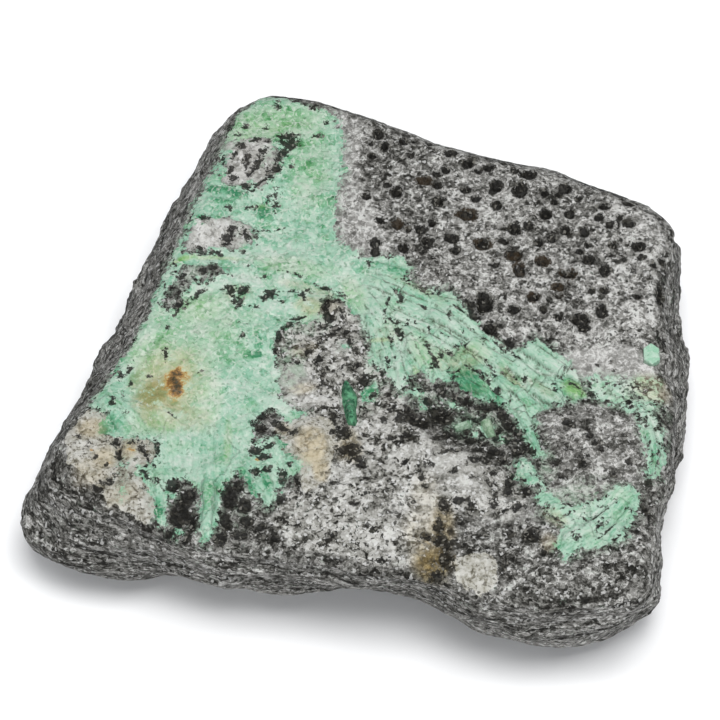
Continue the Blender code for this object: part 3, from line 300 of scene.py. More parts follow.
# Pits of the field: x, y, half width, half length.
PITS = [
    (3.3, 31.9, 0.7, 0.9), (6.6, 30.4, 0.6, 0.6), (4.1, 29.5, 0.5, 0.6), (12.9, 28.7, 0.8, 0.9),
    (7.6, 28, 0.5, 0.5), (15.1, 26.8, 0.8, 0.8), (17.9, 26.1, 0.8, 0.7), (23.2, 25, 1.1, 0.9),
    (22, 22.1, 0.9, 1.4), (9.2, 23.6, 0.9, 0.7), (11.1, 22.9, 0.7, 0.7), (14.8, 22.2, 0.7, 0.7),
    (18.9, 22.9, 0.9, 0.9), (16, 20.6, 0.6, 0.6), (18.9, 19.4, 0.7, 0.7), (11.1, 20, 0.8, 0.9),
    (15, 17.8, 1.3, 1), (25.2, 21.7, 0.6, 0.7), (28, 22.6, 0.8, 1), (26.5, 20.1, 0.5, 0.5),
    (25.2, 17.9, 0.8, 0.8), (28.4, 18, 0.7, 0.8), (33, 19.2, 0.8, 0.5), (32.2, 17.3, 0.6, 0.6),
    (36.1, 16.4, 0.8, 0.7), (33.6, 15.9, 0.5, 0.6), (30.3, 14.8, 0.7, 0.9), (27.7, 15.2, 0.7, 0.7),
    (26, 13.6, 0.6, 0.6), (24.2, 13, 0.6, 0.7), (22.9, 15.9, 0.6, 0.8), (21.1, 15.4, 0.7, 1),
    (19.7, 13.3, 0.8, 0.5), (16.8, 12.8, 1.1, 1), (12.8, 13.8, 0.9, 0.9), (13.2, 11.6, 0.6, 0.5),
    (9.6, 13, 0.7, 0.6), (8.8, 15.1, 0.8, 0.6), (5.6, 16, 0.7, 0.8), (3.4, 16.7, 0.5, 0.5),
    (6.5, 12.1, 0.7, 0.8), (2.8, 13, 0.7, 0.7), (5.7, 21.7, 0.8, 0.9), (1.6, 20.9, 0.5, 0.5),
    (33.8, 12.5, 0.7, 0.6), (37.2, 12.2, 0.8, 0.8), (30.6, 10, 0.9, 0.8), (30.6, 12.5, 0.4, 0.4),
    (20.8, 10.8, 1.1, 1), (21.6, 8.3, 0.8, 1.1), (24.5, 9.9, 0.9, 0.8), (18.4, 9.3, 0.7, 0.6),
    (32.6, 8.1, 0.7, 1), (27.8, 7.6, 1.1, 0.7), (26.5, 5.4, 0.8, 0.7), (23.3, 3.9, 0.9, 0.7),
    (32.5, 4.7, 0.6, 0.6), (36.8, 3.9, 0.5, 0.5), (26.5, 0.8, 0.6, 0.6), (29.2, 0.3, 1.2, 1),
    (31.9, 1.6, 0.7, 1.1), (20.6, 1.8, 0.8, 0.7), (16.9, 3, 1, 1.6),
    # smaller ones
    (2.2, 30.3, 0.4, 0.4), (2.4, 28, 0.5, 0.5), (8.1, 30.5, 0.5, 0.5), (10.1, 30.5, 0.5, 0.5),
    (16, 28, 0.4, 0.4), (16.5, 25.5, 0.5, 0.5), (20.2, 27.3, 0.7, 0.4), (21.3, 25.7, 0.5, 0.5),
    (12.2, 25.4, 0.5, 0.5), (11, 24.7, 0.5, 0.5), (18.3, 21.8, 0.5, 0.5), (27.2, 21.5, 0.5, 0.5),
    (29.7, 20.8, 0.4, 0.4), (36.2, 20.1, 0.8, 0.5), (35, 17.3, 0.4, 0.4), (34.7, 16, 0.25, 0.6),
    (32.3, 14.9, 0.3, 0.3), (28.3, 14.5, 0.4, 0.4), (19.6, 15.6, 0.5, 0.4), (7.1, 15.1, 0.4, 0.4),
    (10.3, 16.3, 0.6, 0.6), (4.5, 23, 0.5, 0.5), (29.5, 11.5, 0.5, 0.4), (33.4, 10.7, 0.4, 0.3),
    (35.2, 10.1, 0.4, 0.4), (37.4, 10.4, 0.5, 0.4), (36.4, 8.4, 0.3, 0.7), (39.1, 9.2, 0.5, 0.5),
    (40.1, 10, 0.3, 0.5), (28, 6, 0.3, 0.3), (26.5, 3.8, 0.4, 0.3), (30.8, 4.7, 0.3, 0.4),
    (24.5, 1.9, 0.4, 0.5), (29.5, -1.2, 0.6, 0.5), (17.5, -0.9, 0.8, 1), (38.4, 6.9, 0.3, 0.3),
    (39.6, 4.3, 0.5, 1.4), (2.8, 11.6, 0.6, 0.7),
]
PIT_STROKES = [(*pit, 0) for pit in PITS]
# Which of them have a brown or olive floor: x, y, reach.
OLIVE = [
    (9.2, 23.6, 1.4), (5.6, 16, 1.4), (15, 17.8, 1.8), (16.8, 12.8, 1.8), (20.8, 10.8, 1.8),
    (21.5, 8.3, 1.6), (24.5, 9.9, 1.5), (27.8, 7.6, 1.6), (26.6, 5.6, 1.4), (23.3, 3.9, 1.4),
]
OLIVE_FLOORS = [(x, y, reach, reach, 0, 1) for x, y, reach in OLIVE]

# Soft patches: x, y, half length, half width, heading, amount.
WHITER = [    # pale, milky crystal
    (-20, 1, 4, 3, 60, 0.25), (-22, -15, 4, 3, 80, 0.25), (32, -27.6, 3, 1.2, 30, 0.5),
    (8, -0.5, 6, 4, -40, 0.35), (26.4, -6.6, 1.6, 1.4, 0, 0.6), (29, -32, 4, 2.4, 20, 0.5),
    (37, -16, 1.2, 3, 0, 0.5), (0, 7, 3, 3, 0, 0.25), (23.5, -8.5, 3.5, 2, -42, 0.2),
    (-26.5, 0, 3, 2, 70, 0.5), (10, -1, 3, 1.2, -42, 0.35), (24.4, -16.8, 1.2, 1.2, 0, 0.5),
    (-4, 9, 3, 2, 0, 0.3), (28.6, -7.8, 2.2, 1.8, 0, 0.7), (34, -10.8, 4.6, 2.6, -10, 0.8),
    (37.6, -16, 1.6, 4, 0, 0.6), (-8, -12.5, 2.5, 2, 0, 1), (-9.5, -8.5, 1, 3, 0, 0.6),
    (-4.5, 34, 3, 2, 0, 0.3), (-11.6, 12, 2, 1.2, 0, 0.5), (-13.8, 7.4, 2.6, 0.9, -10, 0.8),
    (-18, 6.2, 2.6, 0.9, 10, 0.9), (-9.4, 7, 2.2, 1, -10, 0.8), (-24.8, 1.6, 1.6, 0.8, 66, 0.8),
    (3, -8.6, 1, 2.4, 20, 0.6), (5.6, -10, 0.8, 1.8, 0, 0.5),
]
DEEPER = [    # saturated crystal
    (-30.2, -7.2, 1, 0.5, 66, 0.5), (-12.2, -3.4, 0.6, 1.4, 0, 1), (-12.6, -5, 1.2, 0.5, 10, 0.9),
    (-14.8, -3.6, 0.5, 0.7, 0, 0.5), (-24.6, 0.6, 1.4, 0.5, 10, 0.5), (-22.8, -27, 0.7, 0.9, 0, 0.7),
    (-22, -32.8, 0.9, 0.6, 0, 0.6), (-13.2, -25.8, 0.7, 2.6, 20, 0.8), (-10.9, -25.4, 0.5, 2, 14, 0.8),
    (-8.2, -20.4, 1, 2.2, 14, 0.8), (-7.2, -14.4, 0.9, 0.6, 0, 0.6), (-17, 22.2, 2.6, 0.8, -12, 0.65),
    (-17.6, 20.6, 2.2, 0.6, -8, 0.5), (-20.3, 17.6, 0.9, 0.5, 0, 0.6),
    (-12.3, 19.2, 1.2, 1.1, 60, 0.75), (5, 8.6, 2.6, 0.9, -24, 0.6), (8, 4, 2.8, 0.7, -30, 0.4),
    (9.4, -2.4, 1.6, 1.2, -50, 0.2), (14.4, -9.4, 2.6, 1.6, -44, 0.9), (17.6, -12, 1.6, 0.8, -40, 0.7),
    (-18.4, -34, 0.8, 0.8, 0, 0.6), (-17.2, -32.4, 0.4, 1.2, 0, 0.8), (-24.2, -29.6, 0.6, 1.6, 0, 0.8),
    (-31, -16.6, 1.6, 1.5, -60, 0.8), (-18.2, -30, 1.2, 4, 4, 0.35), (-12, 36, 5, 2.6, 10, 0.4),
    (13.6, -5.6, 1.4, 1.4, 0, 0.2), (-1, 3, 1.2, 2.6, 40, 0.3), (27.8, -10.6, 2, 1.6, -30, 0.5),
    (37.8, -21, 0.6, 2, 0, 0.4), (32.4, -31, 0.5, 2.6, -40, 0.5), (-8, 31, 6, 8, 0, 0.24),
    (-18, 21, 3, 4, 0, 0.2), (-30, -12, 2.6, 2, 60, 0.15), (25, -35.2, 0.8, 1.2, 0, 0.5),
    (-14.2, 19.6, 1.6, 1.2, 0, 0.2), (-17, -25.8, 1.8, 1.6, 0, 0.6), (-16, 36, 0.6, 2, -20, 0.6),
    (-12.2, -19, 0.6, 0.5, 0, 0.5), (-20.8, -6, 1, 0.4, 80, 0.3), (-17, -20, 2.2, 3, 0, 0.2),
    (22, -17.4, 0.7, 3, 20, 0.3), (1.9, -11.4, 1.2, 1.7, 0, 1), (-0.6, -12.9, 1.2, 4.6, 8, 1),
]
YELLOWER = [   # yellow-green crystal
    (-21, -3, 8, 6, 60, 0.30), (-12, 34, 8, 3.4, 10, 0.5), (-6, 28, 3, 8, 0, 0.3),
    (-22.4, 10.6, 1.8, 0.4, 20, 1), (-18, 10.8, 3.6, 0.4, -4, 0.8), (-20, 2.4, 3.6, 2.6, 20, 0.5),
    (-26, -5, 3.4, 3, 60, 0.5), (28.2, -11, 1.8, 1.2, -30, 1), (3.4, -2.9, 1.6, 0.3, 0, 1),
    (-18, -12, 1.4, 4, 0, 0.4), (-25, -16, 3, 2, 0, 0.5), (8, -8.4, 0.4, 1.2, 20, 0.8),
    (9, -5, 3, 1.6, -60, 0.4), (-8, 9.4, 5, 1.6, -16, 0.4), (0, 5, 1.4, 3, 20, 0.4),
    (-12.3, 20, 1, 0.4, 0, 0.5), (-15.8, -19, 0.5, 3.6, 0, 0.5), (36, -11, 1.6, 2, 0, 0.4),
    (-4.4, 1.6, 2.6, 1.4, 20, 0.3), (15.6, -5.4, 2, 1.6, 0, 0.4), (-32.6, -15.4, 1.4, 1.2, 0, 0.4),
]
RUST = [
    (-22.7, -8.9, 1.3, 1, 80, 0.85), (-22.5, -10.8, 1.3, 1, 80, 0.8), (-22.6, -9.9, 2.6, 1.7, 85, 0.42),
    (9.3, -38.6, 1.3, 0.8, 20, 0.14), (12, -36.6, 0.7, 0.7, 0, 0.2), (-28, -20.6, 0.8, 0.9, -50, 0.25),
    (-33, -20.6, 0.5, 0.3, 0, 0.25), (-30.4, -22.6, 0.5, 0.3, 0, 0.2), (-11, -20.6, 0.5, 0.4, 0, 0.15),
    (-0.4, -14.8, 0.4, 0.3, 0, 0.3), (8.9, -35, 0.7, 1.4, 0, 0.2), (-12, -22, 0.4, 0.3, 0, 0.4),
]
WARM = [      # ochre and tan stain
    (-23.4, -9.8, 5.4, 4.2, 75, 0.75), (-22.4, -9.6, 3, 2.4, 80, 1), (-22, -14.6, 4, 2.2, -20, 0.5),
    (-6.4, -10.6, 1.6, 0.9, 10, 0.5), (-6.4, -4.2, 1.6, 1.2, 20, 0.3), (-6, 2.8, 1.6, 1.4, 0, 0.5),
    (-33, -17, 1.8, 1.4, 0, 0.6), (-31.2, -21.8, 1.4, 1.8, 0, 0.6), (-28.4, -20.6, 1.2, 1.4, 0, 0.6),
    (-28.8, -27.4, 2, 1.4, 0, 0.3), (-5.2, -20.2, 1.9, 2.8, 10, 0.85), (-4.2, -23.4, 1, 2, 10, 0.8),
    (-0.8, -20.6, 1.6, 1.6, 0, 0.5), (9.6, -36.8, 2.4, 2.4, 20, 0.6), (11, -32, 1.6, 3.4, 0, 0.3),
    (9, -28, 1.8, 3.6, 0, 0.2), (8.6, -33, 2.4, 3, 0, 0.3), (25, -31, 1.8, 0.9, -40, 0.4),
    (38, -10.6, 2.4, 1.8, -40, 0.5), (-33, -24, 2, 2, 0, 0.3), (-8.9, -17, 1, 1, 0, 0.4),
    (24, -34.6, 1, 1.4, 0, 0.4),
]
BROWN = [     # olive-brown shade
    (-25.4, -11.6, 3, 1.9, 55, 1), (-27.8, -9, 1.6, 0.8, 66, 0.5), (-23, -13.2, 2.4, 0.8, -20, 0.5),
    (-26, -15.4, 2, 0.7, -50, 0.5), (14, -6.8, 2, 2.2, 0, 0.55), (11.6, -6.4, 1.6, 1.6, 0, 0.4),
    (20.2, -9, 2.2, 0.7, -48, 0.7), (8, 5.6, 3.6, 0.6, -30, 0.4), (11, -32.4, 1.4, 3.6, 0, 0.7),
    (-4, 3, 2.6, 1.6, 0, 0.4), (-5.6, 5.6, 4, 0.8, -16, 0.4), (4.6, -1.6, 1.8, 1.8, 0, 0.3),
    (24, -11, 2.4, 0.7, -44, 0.4), (9.8, -38, 2.2, 2.6, 0, 1), (-0.4, -19.4, 1.2, 2.6, 14, 0.6),
    (-15, 4.6, 1.8, 1.4, 0, 0.4),
]
CALM = [      # smooth milky ground
    (10.2, -18.2, 1.8, 1.5, 0, 0.9), (12.8, -23.2, 4.4, 3.2, -32, 0.95), (9.2, -28, 2, 4, 0, 0.5),
    (-5, -21, 1.8, 3.2, 0, 0.8), (-7.2, -18.4, 1.6, 1.6, 0, 0.8), (15, -38.8, 2.4, 2.2, 0, 0.5),
    (3.6, -15, 1.4, 1.2, 0, 0.5), (-7.4, -9.6, 2.2, 2.6, 0, 0.8), (-5.6, -12.6, 1.6, 1.4, 0, 0.6),
    (3.4, -17, 1.6, 1.2, 20, 0.6), (7.4, -20.6, 1.4, 1.2, 0, 0.7), (15.6, -25, 2.4, 1.8, -30, 0.7),
    (17.4, -27.4, 2.4, 2, 0, 0.6), (-2.4, -4.6, 1.4, 1.2, 0, 0.6), (15.6, -31, 2.4, 1.2, 0, 0.5),
    (27.1, -22.2, 0.9, 0.9, 0, 0.8), (-1.6, -24, 2.4, 2, 0, 0.4), (4, -30, 2.4, 2.4, 0, 0.3),
    (21.6, -30.6, 2, 1.6, 0, 0.6),
]
TINT = [      # a pale green breath over the ground
    (33.5, -11, 4.2, 2.4, -20, 1), (37.6, -15, 1.8, 4, 0, 0.6), (29, -29, 5, 3.6, 10, 0.6),
    (15, -15.8, 3, 2, 20, 0.5), (8.4, -11.6, 1.8, 1.6, 0, 0.5), (18, -17, 1.6, 2, 0, 0.4),
    (-5.4, 0.6, 3, 2.2, 20, 0.6), (3, -8, 1.4, 2.6, 10, 0.5), (-8, -7, 1.8, 4, 0, 0.7),
    (-14, 15, 1.6, 2.6, 0, 0.5), (-17, 31, 2, 2, 0, 0.5), (-11, 27, 1.6, 4, 0, 0.6),
    (-20.5, 8, 2.6, 1.4, 40, 0.5), (24, -23, 1.4, 3, 0, 0.5), (-28.4, -20, 2, 2.4, 0, 0.4),
    (2, -12, 1.4, 2.4, 0, 0.5), (-14, -30, 1.2, 3, 0, 0.3), (30, -34.6, 4, 1.8, 20, 0.4),
]

# Where crystals run the same way: x, y, heading in degrees, length and width of a crystal.
ZONES = [
    (-9, 33, -72, 3.2, 1.3), (-5, 26, -78, 3.4, 1.3), (-7, 19, -64, 3.2, 1.4), (-15, 27, -66, 2, 1.2),
    (-17, 21.5, -14, 4, 1), (-18, 15, 70, 2, 1.2), (-20, 10.8, 4, 4, 0.7), (-13, 10, -12, 3.6, 0.9),
    (-6, 13, -34, 3.2, 1.4), (-7, 8, -18, 3.4, 1), (1, 7, -48, 3.4, 1.2), (4.4, 9, -26, 3.2, 1.1),
    (8.6, 3.6, -32, 5.4, 1.2), (12.4, 0.8, -40, 5.6, 1.2), (8.4, -0.8, -40, 4.6, 1.1),
    (16.6, -5.2, -40, 5.6, 1.3), (20.6, -8, -42, 5.4, 1.6), (24.4, -7.4, -42, 4.6, 2),
    (24.4, -12, -46, 4.2, 1.6), (28, -10.4, -30, 2.6, 1.4), (17.4, -11, -46, 4.4, 1.2),
    (12.6, -5.8, -50, 3, 1.2), (1.6, 1, -66, 4, 1.1), (4.8, -3.6, -76, 3.6, 1.2),
    (9.6, -4, -62, 3.6, 1.2), (5.8, -9.2, -84, 3.4, 0.9), (22.2, -18, -66, 4, 0.9),
    (-20, 0, 40, 2.2, 1.2), (-25.4, 4, 72, 4.4, 0.7), (-13, 0, -50, 2.4, 1.2), (-6, 2, 20, 1.8, 1.2),
    (-26, -8, 60, 2.4, 1.2), (-19, -8, -70, 2.6, 1.3), (-12.6, -8, -84, 3, 1.2),
    (-30.8, -9, 66, 4.4, 0.8), (-30.4, -16, -60, 3, 1), (-20, -23, -88, 4.8, 0.9),
    (-12.6, -26, -62, 4.4, 1), (-9, -21, -66, 4, 1.1), (34, -11, -30, 2.4, 1.6),
    (37.6, -20, -80, 3.6, 1), (31, -31, 46, 4.6, 1.1), (26, -30, 30, 2.4, 1.4), (28, -34, 36, 3.2, 1.2),
]


# Long crystals of the belt that stand out singly: both ends, width, height over the rest in
# mm, and how much deeper (or, below 0, whiter) their green is.
PRISMS = [
    (6.4, 5.7, 13.4, 2.5, 1.5, 0.25, 0.1), (6.2, 3.2, 10.2, 0.9, 1.7, 0.10, 0.45),
    (5, 1.7, 12.2, -2.5, 1.4, 0.22, -0.3), (9.6, 1.7, 16.4, -3.6, 1.6, 0.42, -0.1),
    (12.5, 2.2, 19.6, -4.4, 1.4, 0.30, 0.1), (9.4, -0.8, 14.4, -4.5, 1.4, 0.30, 0.2),
    (9.2, -2.5, 13, -5.3, 1.3, 0.20, -0.4), (14.8, -3.4, 20, -7.6, 2.1, 0.55, -0.25),
    (14, -5.6, 17.4, -8.9, 1.3, 0.25, 0.35), (18.3, -9, 19.9, -10.9, 1.7, 0.50, 0.45),
    (20.3, -6.6, 23, -9.3, 2, 0.60, -0.05), (21.8, -4, 26.9, -8.4, 1.9, 0.75, 0),
    (23.3, -3, 27.7, -7.3, 1.2, 0.60, 0.35), (22.7, -10.2, 27.3, -13.9, 2.1, 0.85, -0.3),
    (24.1, -9.7, 28.9, -12.2, 1.6, 0.60, 0.5), (20.4, -10.4, 22.6, -13.2, 1.5, 0.40, 0.45),
    (12.9, -9.2, 16.7, -12.1, 1.7, 0.45, 0.6), (15.7, -10.9, 19.4, -13.3, 1.5, 0.35, 0.3),
    (6.7, -2.4, 8.8, -6.8, 1.4, 0.22, 0.15), (8.4, -3.6, 9.8, -7.2, 1.2, 0.15, 0.1),
    (3.3, -1, 4.6, -7.4, 1.7, 0.22, 0.05), (5.3, -5, 6.2, -9.6, 1.2, 0.25, -0.3),
    (2.1, 1.6, 3.1, -4.6, 1.5, 0.15, 0.2), (20.8, -13.7, 22.2, -17.9, 1.7, 0.55, -0.6),
    (21.9, -16.9, 23.7, -21.5, 1.2, 0.50, 0.3), (0.8, 6.2, 3.6, 0.6, 1.6, 0.15, -0.1),
    (1.6, 9.6, 6.6, 7.4, 1.8, 0.20, 0.1), (1.4, 7.4, 5.4, 5, 1.4, 0.15, 0.4),
    (-17.9, -25.4, -18.5, -34.2, 1.9, 0.35, -0.1), (-24.3, -24.4, -24.1, -31.4, 1.1, 0.2, 0.2),
    (-14.3, -23.2, -11, -29.2, 1.7, 0.35, 0.5), (-11.7, -22.8, -10, -28.6, 1.5, 0.25, 0.1),
    (-9.4, -18, -7.2, -22, 1.6, 0.35, 0.5), (-8.4, -21.6, -7.2, -25.2, 1.4, 0.2, 0.1),
    (-31.9, -12.4, -28.4, -17.6, 1.6, 0.2, 0.3), (-19.4, 22.8, -14, 21.6, 1.1, 0.4, 0.9),
    (-19.6, 20.8, -15.6, 20.1, 0.9, 0.25, 0.7), (29, -32.6, 33.6, -28.4, 1.4, 0.45, 0.5),
    (31.6, -33.8, 34.6, -29.6, 1.2, 0.4, 0.3), (26, -34.8, 29.8, -32.2, 1.4, 0.3, -0.1),
    (37, -17.4, 38.2, -22.4, 1.3, 0.3, 0.5), (24.6, -29.6, 29, -30.2, 1.6, 0.2, -0.1),
]

# The green outlines, and the most that a point counts as inside each, mm.
GREEN_RINGS = [(GREEN_BODY, 9), (RIGHT_BAND, 0.08), (FRONT_PATCH, 0.3), (RECESS_CRYSTAL, 0.4)]
# Holes in the green, and how frayed their rims are.
GREEN_HOLES = [(BACK_MOTTLE, 1.4), (BACK_WHITE, 0.8), (SCHIST_ISLAND, 0.5)]
# Green outside those outlines, and single crystals, as strokes.
GREEN_SPOTS = [
    (1.9, -11.3, 1, 1.5, -10), (-22.8, -27, 0.8, 0.9, 0), (-22, -33, 0.9, 0.6, 0),
    (-28.8, -26, 0.3, 1.2, 2), (-29, -23.4, 0.35, 0.8, 0), (13.8, -15.8, 1.3, 0.8, 30),
    (16.8, -16.3, 0.9, 1.3, 20), (9, -13, 0.8, 0.5, 20), (12.6, -12.6, 1, 0.4, -30),
    (8, -11.4, 0.6, 0.5, 0), (18.4, -18.2, 0.8, 0.5, 0), (-18.4, 20.6, 2.4, 0.5, -8),
    (-16.6, 22, 2.6, 0.6, -12), (-12.4, 19.2, 1.2, 1.1, 60), (-5.6, 1, 1.2, 0.8, 20),
    (-20, 17.4, 1, 0.5, 0), (3.2, -6.6, 0.5, 0.4, 20), (15.2, -17.6, 0.5, 0.4, 0),
    (-1, -3.6, 0.5, 0.4, 0), (-24, 6.6, 3.4, 0.5, 68), (-20, 10.9, 4, 0.45, 0),
]
# Where crystals are long: the belt, the fingers and the front right.
BELT_AREA = [(4, 9), (13, 7), (30, -9), (30, -14), (24, -24), (20, -16), (8, -9), (2, -8), (1, 3)]
FINGER_AREA = [(-34, -12), (-28, -13), (-25, -15), (-20, -17), (-15, -17), (-12, -13), (-5, -13),
               (-5, -40), (-34, -40)]
FRONT_RIGHT = [(22, -25), (36, -24.5), (36, -8), (42, -8), (42, -40), (22, -40)]
# The single prisms' plan: the hexagon's x, y and radius, and the others' x, y, half length,
# half width and heading.
HEXAGON_PLAN = (38.1, -5.3, 1.55)
LONE_PLAN = [(-0.55, -12.9, 3.7, 1.1, -83), (13.7, -15.9, 1.2, 0.75, 30), (17.1, -16.3, 1.45, 0.9, -70)]


# ---------------------------------------------------------------- noise
def lattice(ix, iy, iz, seed):
    """Hashed numbers in 0..1 for whole coordinates."""
    with np.errstate(over="ignore"):
        h = (ix.astype(np.int64).astype(np.uint32) * np.uint32(374761393)
             + iy.astype(np.int64).astype(np.uint32) * np.uint32(668265263)
             + iz.astype(np.int64).astype(np.uint32) * np.uint32(2147483629)
             + np.uint32((seed * 3266489917 + 12345) & 0xFFFFFFFF))
        h ^= h >> np.uint32(15)
        h *= np.uint32(2246822519)
        h ^= h >> np.uint32(13)
        h *= np.uint32(3266489917)
        h ^= h >> np.uint32(16)
    return h.astype(np.float64) / 4294967296.0


def value_noise(p, seed):
    """Smooth noise in -1..1 at points (n, 3), lattice step 1."""
    base = np.floor(p)
    f = p - base
    f = f * f * f * (f * (f * 6 - 15) + 10)
    out = 0.0
    for corner in itertools.product((0, 1), repeat=3):
        wx, wy, wz = np.where(corner, f, 1 - f).T
        out = out + wx * wy * wz * lattice(*(base + corner).T, seed)
    return out * 2 - 1


def fractal(p, seed, octaves=3):
    """Noise in -1..1 with finer noise on it, each octave half as strong."""
    total, amount, norm = 0.0, 1.0, 0.0
    for k in range(octaves):
        total = total + amount * value_noise(p * 2.03 ** k + 17.3 * k, seed + 31 * k)
        norm += amount
        amount *= 0.5
    return total / norm


def flat(xy):
    """Plan points as points in space."""
    return np.column_stack((xy, np.zeros(len(xy))))


def plan_noise(xy, size, seed, octaves=3):
    """Noise in -1..1 over the plan, with features of a size in mm."""
    return fractal(flat(xy / size), seed, octaves)


def drift(xy, size, seed, octaves):
    """A small noisy shift of each plan point, which makes drawn outlines ragged."""
    return np.column_stack([plan_noise(xy, size, seed + k, octaves) for k in (0, 1)])


def frayed(xy):
    """Plan points shifted so that strokes get ragged rims."""
    return xy + 0.16 * drift(xy, 0.9, 11, 3)


def cells(u, v, seed):
    """Nearest scattered point of a jittered grid of step 1: its hash, the offset to it and the
    gap to the second nearest."""
    bu, bv = np.floor(u), np.floor(v)
    best = np.full(len(u), 9.0)
    second = best.copy()
    ident, offu, offv, zero = (np.zeros(len(u)) for _ in range(4))
    for du, dv in itertools.product((-1, 0, 1), repeat=2):
        cu, cv = bu + du, bv + dv
        pu = cu + 0.1 + 0.8 * lattice(cu, cv, zero, seed)
        pv = cv + 0.1 + 0.8 * lattice(cu, cv, zero + 1, seed)
        d = np.hypot(u - pu, v - pv)
        near = d < best
        second = np.where(near, best, np.minimum(second, d))
        best = np.where(near, d, best)
        ident = np.where(near, lattice(cu, cv, zero + 2, seed), ident)
        offu = np.where(near, u - pu, offu)
        offv = np.where(near, v - pv, offv)
    return ident, offu, offv, second - best


def soft(x, low, high):
    """A smooth step from 0 at low to 1 at high."""
    k = np.clip((x - low) / (high - low), 0, 1)
    return k * k * (3 - 2 * k)


# ---------------------------------------------------------------- plan geometry
def inside(xy, ring):
    """Which points lie inside a closed outline."""
    hit = np.zeros(len(xy), bool)
    x, y = xy.T
    for (x0, y0), (x1, y1) in zip(ring, np.roll(ring, -1, 0)):
        if y0 != y1:
            hit ^= ((y0 > y) != (y1 > y)) & (x < x0 + (y - y0) * (x1 - x0) / (y1 - y0))
    return hit


def ring_distance(xy, ring):
    """Distance inside a closed outline, negative outside it."""
    ring = np.asarray(ring, float)
    best = np.full(len(xy), 1e9)
    for a, b in zip(ring, np.roll(ring, -1, 0)):
        ab = b - a
        share = np.clip(((xy - a) @ ab) / max(ab @ ab, 1e-12), 0, 1)
        best = np.minimum(best, np.hypot(xy[:, 0] - a[0] - share * ab[0],
                                         xy[:, 1] - a[1] - share * ab[1]))
    return np.where(inside(xy, ring), best, -best)


def deepest(xy, *rings):
    """Distance inside any of some outlines, negative outside them all."""
    return np.maximum.reduce([ring_distance(xy, ring) for ring in rings])


def smooth_ring(ring):
    """A closed Catmull-Rom curve through the corners, with a point halfway along each side."""
    ring = np.array(ring, float)
    before, after, far = np.roll(ring, 1, 0), np.roll(ring, -1, 0), np.roll(ring, -2, 0)
    rows = [0.5 * (2 * ring + (after - before) * t
                   + (2 * before - 5 * ring + 4 * after - far) * t ** 2
                   + (3 * ring - before - 3 * after + far) * t ** 3)
            for t in (0.0, 0.5)]
    return np.stack(rows, 1).reshape(-1, 2)


def turned(xy, x, y, heading):
    """How far points are from (x, y) along and across a heading in degrees."""
    turn = math.radians(heading)
    dx, dy = xy[:, 0] - x, xy[:, 1] - y
    return (dx * math.cos(turn) + dy * math.sin(turn),
            dy * math.cos(turn) - dx * math.sin(turn))


def ellipse(xy, x, y, length, width, heading, reach):
    """The points near an ellipse, and how far out in it they are, 1 at its rim."""
    near = np.nonzero((np.abs(xy[:, 0] - x) < reach) & (np.abs(xy[:, 1] - y) < reach))[0]
    u, v = turned(xy[near], x, y, heading)
    return near, np.hypot(u / length, v / width)


STROKE_REACH = 1.5      # strokes are told apart up to this far outside, mm
THINNEST = 0.28         # a narrower stroke fades as if it were this wide, mm


def strokes(xy, rows):
    """Greatest distance inside any of a list of ellipses, in mm, negative outside."""
    best = np.full(len(xy), -STROKE_REACH)
    for row in rows:
        length, width = row[2:4]
        near, out = ellipse(xy, *row, max(length, width) + STROKE_REACH)
        best[near] = np.maximum(best[near], (1 - out) * max(min(length, width), THINNEST))
    return best


def patches(xy, rows):
    """Greatest amount of a list of soft ellipses."""
    best = np.zeros(len(xy))
    for *row, amount in rows:
        near, out = ellipse(xy, *row, 1.5 * max(row[2:4]))
        best[near] = np.maximum(best[near], amount * soft(1.45 - out, 0, 0.9))
    return best


# ---------------------------------------------------------------- the CAD solids
def to_plan(co):
    """Metres of the row to mm of the plan."""
    out = np.array(co, float) * 1000.0
    out[:, :2] += PLAN_CENTRE
    return out


def to_row(co):
    """Mm of the plan to metres of the row."""
    out = np.array(co, float)
    out[:, :2] -= PLAN_CENTRE
    return out * MM


def solid(name):
    """Plan vertices and triangles of a CAD node."""
    mesh = NODES[name].data
    co = np.zeros(len(mesh.vertices) * 3)
    mesh.vertices.foreach_get("co", co)
    mesh.calc_loop_triangles()
    tri = np.zeros(len(mesh.loop_triangles) * 3, np.int32)
    mesh.loop_triangles.foreach_get("vertices", tri)
    return to_plan(co.reshape(-1, 3)), tri.reshape(-1, 3)


def welded(name):
    """A CAD node's solid with each corner once."""
    co, tri = solid(name)
    key = {}
    index = np.array([key.setdefault(tuple(np.round(c, 3)), len(key)) for c in co])
    points = np.zeros((len(key), 3))
    points[index] = co
    return points, index[tri]


def tree(*names):
    """A ray-casting tree over some nodes."""
    verts, tris, start = [], [], 0
    for name in names:
        co, tri = solid(name)
        verts.append(co)
        tris.append(tri + start)
        start += len(co)
    return BVHTree.FromPolygons(np.vstack(verts).tolist(), np.vstack(tris).tolist())


def drop(bvh, xy, missing):
    """Height of the first surface under each plan point."""
    down = Vector((0, 0, -1))
    out = np.full(len(xy), float(missing))
    for i, (x, y) in enumerate(xy):
        hit = bvh.ray_cast(Vector((x, y, SKY)), down)
        if hit[0] is not None:
            out[i] = hit[0].z
    return out


# ---- a height map of the broad face without its pits and gaps
MAP_STEP = 0.5
MAP_X = np.arange(-46.0, 47.01, MAP_STEP)
MAP_Y = np.arange(-47.0, 46.01, MAP_STEP)
PIT_REACH = 3            # pits up to twice this many cells wide are closed
LOWEST_FACE = 14.0       # what is lower isn't part of the face
EDGE_FACE = 18.0         # the map's height far outside the slab
CARRY = 14               # how many cells the face is carried outward past its edge
AROUND = ((1, 0), (-1, 0), (0, 1), (0, -1), (1, 1), (-1, -1), (1, -1), (-1, 1))


